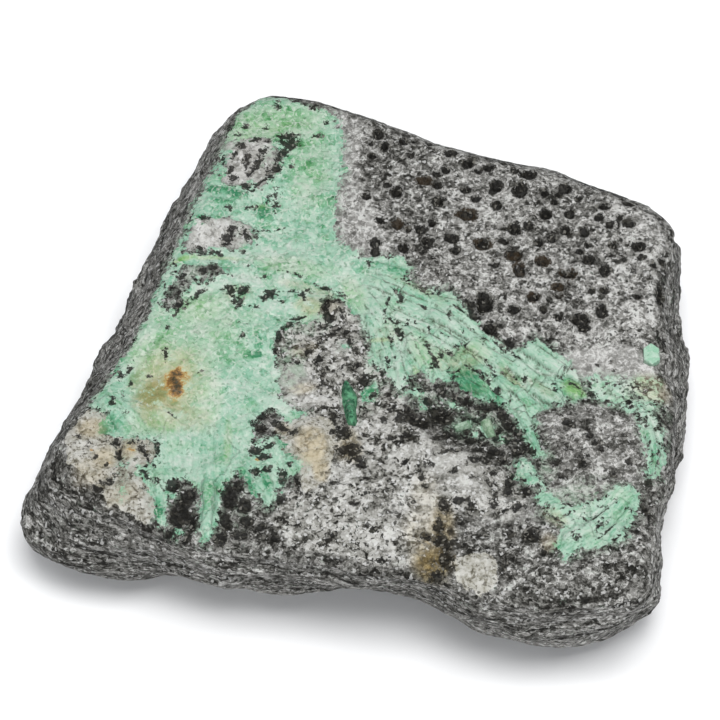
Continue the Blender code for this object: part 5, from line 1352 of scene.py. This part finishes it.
class Nodes:
    """Short calls for building one material's nodes."""

    def __init__(self, name):
        self.mat = bpy.data.materials.new(name)
        self.mat.use_nodes = True
        self.tree = self.mat.node_tree
        self.shader = self.tree.nodes["Principled BSDF"]

    def add(self, kind, inputs, output=0, **settings):
        """A node with some of its inputs fed, and the Value of one of its outputs."""
        node = self.tree.nodes.new(kind)
        for key, value in settings.items():
            setattr(node, key, value)
        for key, value in inputs.items():
            self.feed(node.inputs[key], value)
        return Value(self, node.outputs[output])

    def feed(self, socket, value):
        if isinstance(value, Value):
            self.tree.links.new(value.socket, socket)
        else:
            socket.default_value = value

    def set(self, **inputs):
        """Feeds the shader; _ stands for a space in an input's name."""
        for key, value in inputs.items():
            self.feed(self.shader.inputs[key.replace("_", " ")], value)

    def place(self):
        """The point on the piece, in mm."""
        return self.scaled(self.add("ShaderNodeTexCoord", {}, "Object"), (1 / MM, 1 / MM, 1 / MM))

    def parts(self, kind, whole):
        """The three parts of a vector or colour."""
        node = self.add(kind, {0: whole}).socket.node
        return [Value(self, socket) for socket in node.outputs[:3]]

    def mask(self, name):
        return self.add("ShaderNodeAttribute", {}, "Vector", attribute_type="GEOMETRY",
                        attribute_name=name)

    def mask_parts(self, name):
        return self.parts("ShaderNodeSeparateXYZ", self.mask(name))

    def math(self, op, a, b):
        return self.add("ShaderNodeMath", {0: a, 1: b}, operation=op)

    def larger(self, a, b):
        return self.math("MAXIMUM", a, b)

    def step(self, value, low, high):
        """A smooth step from 0 at low to 1 at high; high may be the lower one."""
        return self.add("ShaderNodeMapRange", {"Value": value, "From Min": low, "From Max": high},
                        interpolation_type="SMOOTHSTEP")

    def mix(self, share, a, b, blend="MIX"):
        """From colour a to colour b."""
        return self.add("ShaderNodeMix", {0: share, 6: a, 7: b}, 2, data_type="RGBA",
                        blend_type=blend, clamp_factor=True)

    def blend(self, share, a, b):
        """From number a to number b."""
        return self.add("ShaderNodeMix", {0: share, 2: a, 3: b}, data_type="FLOAT",
                        clamp_factor=True)

    def scaled(self, vector, scale):
        return self.add("ShaderNodeMapping", {"Vector": vector, "Scale": scale},
                        vector_type="POINT")

    def noise(self, vector, scale, detail, rough, distortion=0.0, output="Fac"):
        return self.add("ShaderNodeTexNoise", {
            "Vector": vector, "Scale": scale, "Detail": detail, "Roughness": rough,
            "Distortion": distortion}, output, noise_dimensions="3D")

    def grains(self, vector, scale):
        """Cells with three numbers each, 0..1, the same all over a cell."""
        cell = self.add("ShaderNodeTexVoronoi", {"Vector": vector, "Scale": scale}, "Color",
                        voronoi_dimensions="3D", feature="F1")
        return self.parts("ShaderNodeSeparateColor", cell)

    def seam(self, vector, scale):
        """Distance to the border between the same cells."""
        return self.add("ShaderNodeTexVoronoi", {"Vector": vector, "Scale": scale}, "Distance",
                        voronoi_dimensions="3D", feature="DISTANCE_TO_EDGE")

    def ramp(self, value, stops, interpolation="LINEAR"):
        """The colour at a value, from stops of (value, sRGB colour)."""
        made = self.add("ShaderNodeValToRGB", {0: value})
        ramp = made.socket.node.color_ramp
        ramp.interpolation = interpolation
        while len(ramp.elements) < len(stops):
            ramp.elements.new(0.5)
        for element, (at, rgb) in zip(ramp.elements, stops):
            element.position = at
            element.color = linear(rgb)
        return made

    def bump(self, height, strength, distance):
        self.set(Normal=self.add("ShaderNodeBump", {
            "Height": height, "Strength": strength, "Distance": distance}))


# ---- tones of the stones, from dark to light or from pale to deep
SCHIST_TONES = [(0.0, (26, 25, 22)), (0.18, (50, 49, 45)), (0.36, (88, 87, 83)),
                (0.56, (131, 130, 126)), (0.76, (168, 167, 163)), (1.0, (222, 221, 218))]
WHITE_TONES = [(0.0, (32, 31, 27)), (0.16, (70, 69, 64)), (0.34, (122, 121, 115)),
               (0.52, (158, 157, 151)), (0.74, (190, 189, 184)), (1.0, (222, 221, 217))]
# black mica; its lightest grey cells are painted glints
MICA_AND_GLINT_TONES = [(0.0, (18, 17, 14)), (0.60, (30, 28, 23)), (0.80, (54, 52, 46)),
              (0.94, (116, 114, 107))]
FELDSPAR_TONES = [(0.1, (100, 96, 84)), (0.30, (154, 151, 138)), (0.46, (183, 181, 171)),
                  (0.66, (205, 203, 196)), (0.95, (224, 222, 216))]
GREEN_TONES = [(0.0, (203, 217, 205)), (0.22, (182, 209, 191)), (0.42, (165, 202, 179)),
               (0.62, (143, 190, 164)), (0.82, (108, 170, 134)), (1.0, (58, 132, 94))]
YELLOW_TONES = [(0.0, (206, 212, 188)), (0.4, (180, 202, 163)), (0.75, (136, 182, 112)),
                (1.0, (98, 152, 80))]
RUST_TONES = [(0.18, (206, 192, 150)), (0.38, (198, 164, 98)), (0.56, (160, 114, 54)),
              (0.76, (104, 68, 32)), (0.95, (44, 31, 19))]
OCHRE_SHADE = (0.93, 0.82, 0.60, 1.0)
BROWN_SHADE = (0.66, 0.57, 0.36, 1.0)


def about(value, amount):
    """A value of 0..1 as a swing round zero."""
    return (value - 0.5) * amount


def shared(n):
    """A piece's masks, and the noises and grains that its stones share."""
    g = SimpleNamespace()
    g.green, g.dark, g.pit = n.mask_parts("mask_a")
    g.white, g.cream, g.rust = n.mask_parts("mask_b")
    g.side, g.tone, g.warm = n.mask_parts("mask_c")
    g.whiter, g.deeper, g.yellow = n.mask_parts("mask_d")
    g.shade, g.crack, g.olive = n.mask_parts("mask_e")
    g.calm, g.tint, g.brown = n.mask_parts("mask_f")
    g.pale = n.mask_parts("mask_g")[0]
    g.loud = n.blend(g.calm, 1.0, 0.25)
    g.place = n.place()
    # noises with features of 1 mm, 0.3 mm and 3 mm
    g.ragged = n.noise(g.place, 0.95, 5.0, 0.70)
    g.fine = n.noise(g.place, 3.4, 3.0, 0.7)
    g.mottle = n.noise(g.place, 0.36, 3.0, 0.55)
    # grains of 0.3, 0.65 and 1.5 mm
    warp = n.noise(g.place, 1.7, 2.0, 0.5, output="Color")
    g.bent = n.add("ShaderNodeVectorMath", {0: warp, 1: (0.6, 0.6, 0.6), 2: g.place},
                   operation="MULTIPLY_ADD")
    g.small, g.small2, g.small3 = n.grains(g.bent, 3.1)
    g.big, _, _ = n.grains(g.bent, 1.5)
    g.lump, g.lump2, _ = n.grains(g.bent, 0.66)
    g.seam = n.seam(g.bent, 1.5)
    g.wide_seam = n.seam(g.bent, 0.66)
    # black mica, with a few cells lit as painted glints
    g.mica = n.ramp(g.small, MICA_AND_GLINT_TONES, "CONSTANT")
    # fibres and clear blocks along the long crystals
    g.long = n.mask_parts("grain")[2]
    fibres = n.mask("grain")
    g.fibre = n.noise(n.scaled(fibres, (0.55, 2.6, 1.0)), 1.0, 3.0, 0.6, 0.3)
    g.thread = n.noise(n.scaled(fibres, (1.5, 6.0, 1.0)), 1.0, 2.0, 0.6)
    g.clear, g.clear2, g.clear3 = n.grains(n.scaled(fibres, (0.8, 1.9, 1.0)), 1.15)
    return g


def grey_schist(n, g):
    """How light a grain is comes from the ground's tone and its own lots."""
    lots = (about(g.small, 0.36) + about(g.big, 0.34) + about(g.lump, 0.26)
            + about(g.fine, 0.38) + about(g.ragged, 1.12) + about(g.mottle, 0.6))
    face_light = g.tone + lots * n.blend(g.calm, 1.0, 0.45) - 0.02
    web = n.larger(n.step(g.seam, 0.09, 0.02) * n.step(g.ragged, 0.46, 0.56),
                   n.step(g.wide_seam, 0.07, 0.02) * n.step(g.ragged, 0.42, 0.52))
    face_light = face_light + web * 0.26
    # on the sides, flecks lie along the foliation, with dark gaps between the sheets
    laid = n.scaled(g.bent, (0.42, 0.42, 1.5))
    fleck = n.grains(laid, 2.3)[0]
    thin = n.grains(laid, 5.0)[0]
    sheet = n.noise(n.scaled(g.place, (0.16, 0.16, 1.0)), 1.1, 4.0, 0.65)
    side_light = (g.tone + about(fleck, 0.50) + about(thin, 0.36) + about(g.small, 0.22)
                  + about(g.fine, 0.6) + about(g.ragged, 0.9) + about(sheet, 0.6)
                  - n.step(sheet, 0.43, 0.37) * 0.24)
    greys = n.ramp(n.blend(g.side, face_light, side_light), SCHIST_TONES)
    # painted glints: near-white specks standing in for light flashing off mica flakes
    glint = n.step(g.small2, 0.93, 0.95) * n.blend(g.side, 0.6, 0.5) * g.loud
    greys = n.mix(glint, greys, linear((226, 226, 224)))
    return n.mix(n.step(g.small3, 0.09, 0.07) * 0.8 * g.loud, greys, linear((34, 33, 29)))


def white_ground(n, g):
    """Milky grains, some grey and some smooth, with black mica between and a few painted glints."""
    rough = (0.53 + about(g.lump, 0.46) + about(g.big, 0.50) + about(g.small, 0.40)
             + about(g.ragged, 1.3) + about(g.fine, 0.4) + about(g.mottle, 0.8))
    even = 0.76 + about(g.ragged, 1.3) + about(g.small, 0.18) + about(g.lump, 0.24)
    smooth = n.step(g.lump2, 0.60, 0.66) * n.step(g.wide_seam, 0.05, 0.16)
    smooth = n.larger(smooth, g.calm)
    milk = n.ramp(n.blend(smooth * 0.8, rough, even) + g.pale * 0.10, WHITE_TONES)
    clump = n.noise(g.place, 0.62, 4.0, 0.75) + about(g.small, 0.05) + about(g.big, 0.05)
    milk = n.mix(n.step(clump, 0.58, 0.605) * 0.92 * (1 - g.calm), milk, g.mica)
    milk = n.mix(n.step(g.small3, 0.10, 0.08) * 0.85 * g.loud, milk, linear((36, 34, 30)))
    # painted glints: a few near-white specks standing in for light flashing off the grains
    return n.mix(n.step(g.small2, 0.90, 0.92) * 0.7, milk, linear((228, 228, 226)))


def feldspar_ground(n, g):
    """Cream grains with dark pecks."""
    light = (0.5 + about(g.ragged, 1.2) + about(g.big, 0.35) + about(g.small, 0.3)
             + about(g.mottle, 0.6))
    cream = n.ramp(light, FELDSPAR_TONES)
    peck = n.step(n.noise(g.place, 1.1, 4.0, 0.75) + about(g.small, 0.08), 0.40, 0.375)
    cream = n.mix(peck * 0.85 * (1 - g.calm), cream, linear((60, 56, 46)))
    return n.mix(n.step(g.small3, 0.08, 0.06) * 0.7, cream, linear((80, 74, 60)))


def all_ground(n, g):
    """Schist, white ground and feldspar, with a pale green wash."""
    ground = n.mix(g.white, grey_schist(n, g), white_ground(n, g))
    cream_in = n.step(g.cream + about(g.ragged, 1.6), 0.42, 0.58)
    ground = n.mix(cream_in, ground, feldspar_ground(n, g))
    wash = g.tint * n.step(g.ragged + about(g.small, 0.10) + about(g.mottle, 0.4), 0.42, 0.54)
    wash_tone = n.mix(n.step(g.big, 0.2, 0.8), linear((150, 180, 154)), linear((186, 198, 182)))
    return n.mix(wash * 0.75, ground, wash_tone)


def green_crystal(n, g):
    """Sugary grains, or fibres along the long crystals."""
    sugar = (0.45 + about(g.big, 0.24) + about(g.small, 0.18) + about(g.lump, 0.36)
             + about(g.ragged, 0.9) + about(g.mottle, 1.1) + g.shade * 0.20)
    long = (0.40 + about(g.fibre, 0.8) + about(g.clear, 0.30) + about(g.thread, 0.5)
            + about(g.small, 0.10) + about(g.ragged, 0.5) + about(g.mottle, 0.5)
            + g.shade * 0.20)
    hue = n.blend(g.long, sugar, long) + g.deeper * 0.55 - g.whiter * 0.36
    stain = (g.yellow + n.step(g.mottle, 0.52, 0.66) * 0.18) * 0.9
    greens = n.mix(stain, n.ramp(hue, GREEN_TONES), n.ramp(hue, YELLOW_TONES))
    # milky clouds, flecks and webs, a few dark grains, and dark cracks between prisms: brown crevice
    # fill with painted shade
    sugary = 1 - g.long * 0.6
    cloud = n.step(n.noise(g.place, 1.3, 3.0, 0.6), 0.58, 0.66)
    greens = n.mix(cloud * 0.5 * sugary, greens, linear((206, 217, 203)))
    fleck = n.step(g.small2, 0.88, 0.90)
    greens = n.mix(fleck * 0.42 * sugary, greens, linear((220, 229, 218)))
    web = n.step(g.wide_seam, 0.09, 0.02) * n.step(g.ragged, 0.44, 0.56)
    greens = n.mix(web * 0.55 * sugary, greens, linear((212, 223, 210)))
    greens = n.mix(n.step(g.small3, 0.09, 0.06) * 0.45, greens, linear((88, 128, 96)))
    # the dark crevice lines: brown fill and painted shade between crystals
    line = g.crack * n.blend(n.step(g.ragged, 0.44, 0.55), 0.06, 1.0)
    return n.mix(line * 0.85, greens, linear((62, 58, 42)))


def stained(n, g, face):
    """The face with its ochre, olive-brown and rust."""
    warm = g.warm * n.step(g.ragged * 0.6 + g.mottle * 0.4, 0.30, 0.56)
    face = n.mix(warm * 0.75, face, n.mix(1.0, face, OCHRE_SHADE, "MULTIPLY"))
    face = n.mix(warm * 0.45, face, linear((207, 190, 154)))
    brown = g.brown * n.step(g.ragged, 0.34, 0.50)
    face = n.mix(brown, face, n.mix(1.0, face, BROWN_SHADE, "MULTIPLY"))
    rusty = g.rust + about(g.ragged, 1.7) + about(g.fine, 0.8) + about(g.small, 0.15)
    rust_in = n.step(rusty, 0.16, 0.52) * n.step(g.rust, 0.02, 0.25) * 0.9
    return n.mix(rust_in, face, n.ramp(rusty, RUST_TONES))


def pitted(n, g, face):
    """The face with its pits, some olive inside, which have pale rims."""
    pit_in = (g.pit + 0.11 + about(g.ragged, 1.7) + about(g.small, 0.30) + about(g.fine, 0.4)
              + about(g.mottle, 0.4))
    is_pit = n.step(pit_in, -0.08, 0.05)
    olive = g.olive * 0.75 * n.step(g.ragged, 0.44, 0.58)
    rim = n.step(pit_in, -0.42, -0.12) * (1 - is_pit) * n.step(g.mottle, 0.42, 0.56)
    face = n.mix(rim * 0.4, face, linear((186, 185, 181)))
    return n.mix(is_pit * 0.95, face, n.mix(olive, g.mica, linear((60, 47, 29))))


def face_material(name, gloss=1.0):
    """Every stone of the face: grey schist, white grains, mica, emerald, feldspar."""
    n = Nodes(name)
    g = shared(n)
    green_in = (g.green + about(g.ragged, 3.0) + about(g.small, 0.35) + about(g.big, 0.55)
                + about(g.mottle, 1.2))
    is_green = n.step(green_in, -0.08, 0.10)
    face = n.mix(is_green, all_ground(n, g), green_crystal(n, g))
    # a green breath in the ground beside the crystals
    haze = n.step(green_in, -1.3, 0.1) * (1 - is_green) * n.step(g.small, 0.3, 0.7)
    face = n.mix(haze * n.blend(g.pale, 0.45, 0.25), face, linear((150, 174, 154)))
    face = stained(n, g, face)
    # the dark strokes get the mica colour: black mica, and along the belt's step and crevices painted
    # shade
    dark_in = g.dark + about(g.ragged, 2.6) + about(g.small, 0.40) + about(g.fine, 0.5)
    is_dark = n.step(dark_in, -0.06, 0.08)
    face = pitted(n, g, n.mix(is_dark * 0.95, face, g.mica))
    rough = n.blend(is_green, n.blend(g.small2, 0.50, 0.85), n.blend(g.clear2, 0.26, 0.55))
    n.set(Base_Color=face, Roughness=n.blend(is_dark, rough, 0.42),
          Specular_IOR_Level=0.14 * gloss)
    rock_height = g.small * 0.5 + g.big * 0.4 + g.fine * 0.9
    sugar_height = g.small * 0.5 + g.big * 0.5
    long_height = g.thread * 0.7 + g.clear3 * 0.5
    height = n.blend(is_green, rock_height, n.blend(g.long, sugar_height, long_height))
    n.bump(height, 0.8, 0.0002)
    return n.mat


def prism_material(name, light_rgb, deep_rgb):
    """Cloudy green crystal with pale worn spots."""
    n = Nodes(name)
    place = n.place()
    cloudy = n.noise(place, 0.7, 4.0, 0.65)
    fine = n.noise(place, 3.0, 3.0, 0.7)
    small = n.grains(place, 2.6)[0]
    depth = cloudy * 2.6 + small * 0.4 + fine * 0.7 - 1.3
    tone = n.mix(n.step(depth, 0.1, 1.0), linear(light_rgb), linear(deep_rgb))
    tone = n.mix(n.step(cloudy, 0.58, 0.66) * 0.35, tone, linear((206, 220, 206)))
    tone = n.mix(n.step(fine, 0.40, 0.34) * 0.5, tone, linear((58, 72, 54)))
    n.set(Base_Color=tone, Roughness=n.blend(small, 0.3, 0.6), Specular_IOR_Level=0.25)
    n.bump(fine + small * 0.4, 0.7, 0.00015)
    return n.mat


# ---------------------------------------------------------------- build
schist = face_material("schist_face")
emerald = face_material("emerald_face", 1.5)
feldspar = face_material("feldspar_face", 0.9)

rock_piece = build_rock(schist)
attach(rock_piece, "root")
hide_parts("matrix")

PIECES = [      # node, piece, material, mm between its points, slot
    ("emerald_vein", "emerald_mass", emerald, VEIN_STEP, "emerald"),
    ("emerald_right_band", "emerald_band", emerald, PATCH_STEP, "emerald"),
    ("emerald_front_patch", "emerald_patch", emerald, PATCH_STEP, "emerald"),
    ("emerald_recess_large", "emerald_in_recess", emerald, PATCH_STEP, "emerald"),
    ("feldspar_left", "feldspar_corner", feldspar, FELDSPAR_STEP, "feldspar"),
    ("feldspar_middle", "feldspar_centre", feldspar, FELDSPAR_STEP, "feldspar"),
    ("feldspar_nodule", "feldspar_lump", feldspar, FELDSPAR_STEP, "feldspar"),
]
for node, made, mat, step, slot in PIECES:
    piece = build_crystal(node, made, mat, step)
    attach(piece, "root")
    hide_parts(node)

LEAF = ((0, 0.4), (0.10, 0.95), (0.38, 1.4), (0.60, 1.0), (0.88, 0.9), (1, 0.4))
EVEN = ((0, 1), (1, 1))
TAPERED = ((0, 1), (0.5, 0.91), (1, 0.75))
LONE = [      # node, piece, light tone, deep tone, wear of the edges in mm, profile, slot
    ("emerald_dark_prism", "dark_prism", (104, 168, 128), (20, 74, 50), 0.12, LEAF, "emerald_dark"),
    ("emerald_hexagonal", "hexagonal_prism", (192, 218, 200), (150, 200, 170), 0.16, EVEN, "emerald"),
    ("emerald_recess_small_1", "recess_prism_a", (176, 198, 178), (104, 140, 110), 0.3, TAPERED,
     "emerald"),
    ("emerald_recess_small_2", "recess_prism_b", (182, 200, 178), (110, 146, 112), 0.3, TAPERED,
     "emerald"),
]
for node, made, light_rgb, deep_rgb, wear, profile, slot in LONE:
    mat = prism_material(made + "_stone", light_rgb, deep_rgb)
    piece = build_lone(node, made, mat, wear, profile)
    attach(piece, "root")
    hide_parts(node)

# ---------------------------------------------------------------- stage, light, camera
scene = bpy.context.scene

FLOOR_REACH = 1.6        # from the middle of the floor to its edges, m
corners = [(-FLOOR_REACH, -FLOOR_REACH, 0), (FLOOR_REACH, -FLOOR_REACH, 0),
           (FLOOR_REACH, FLOOR_REACH, 0), (-FLOOR_REACH, FLOOR_REACH, 0)]
floor_mesh = bpy.data.meshes.new("floor")
floor_mesh.from_pydata(corners, [], [(0, 1, 2, 3)])
floor = bpy.data.objects.new("floor", floor_mesh)
scene.collection.objects.link(floor)
white = Nodes("floor_white")
white.set(Base_Color=(0.93, 0.93, 0.935, 1), Roughness=0.9, Specular_IOR_Level=0.1,
          Emission_Color=(0.88, 0.92, 1.0, 1), Emission_Strength=0.05)
floor_mesh.materials.append(white.mat)

world = bpy.data.worlds.new("studio")
scene.world = world
world.use_nodes = True
background = world.node_tree.nodes["Background"]
background.inputs["Color"].default_value = (0.96, 0.98, 1.0, 1)
background.inputs["Strength"].default_value = 0.40


def area_light(name, place, aim, size, power):
    data = bpy.data.lights.new(name, "AREA")
    data.shape = "RECTANGLE"
    data.size, data.size_y = size
    data.energy = power
    obj = bpy.data.objects.new(name, data)
    scene.collection.objects.link(obj)
    obj.location = place
    obj.rotation_euler = (Vector(aim) - Vector(place)).to_track_quat("-Z", "Y").to_euler()


area_light("key", (0.05, -0.19, 0.67), (0, 0, 0.01), (0.34, 0.30), 4.3)
area_light("front", (0.05, -0.55, 0.42), (0, 0, 0.01), (0.6, 0.3), 0.5)

cam_data = bpy.data.cameras.new("photo_camera")
cam_data.sensor_width = 36.0
cam_data.lens = 191.0
cam_data.clip_start = 0.01
cam_data.clip_end = 10.0
camera = bpy.data.objects.new("photo_camera", cam_data)
scene.collection.objects.link(camera)
camera.location = (-0.00009, -0.30581, 0.40501)
camera.rotation_euler = (math.radians(38.0), 0, 0)
scene.camera = camera
scene.view_settings.view_transform = "Standard"
scene.view_settings.look = "None"
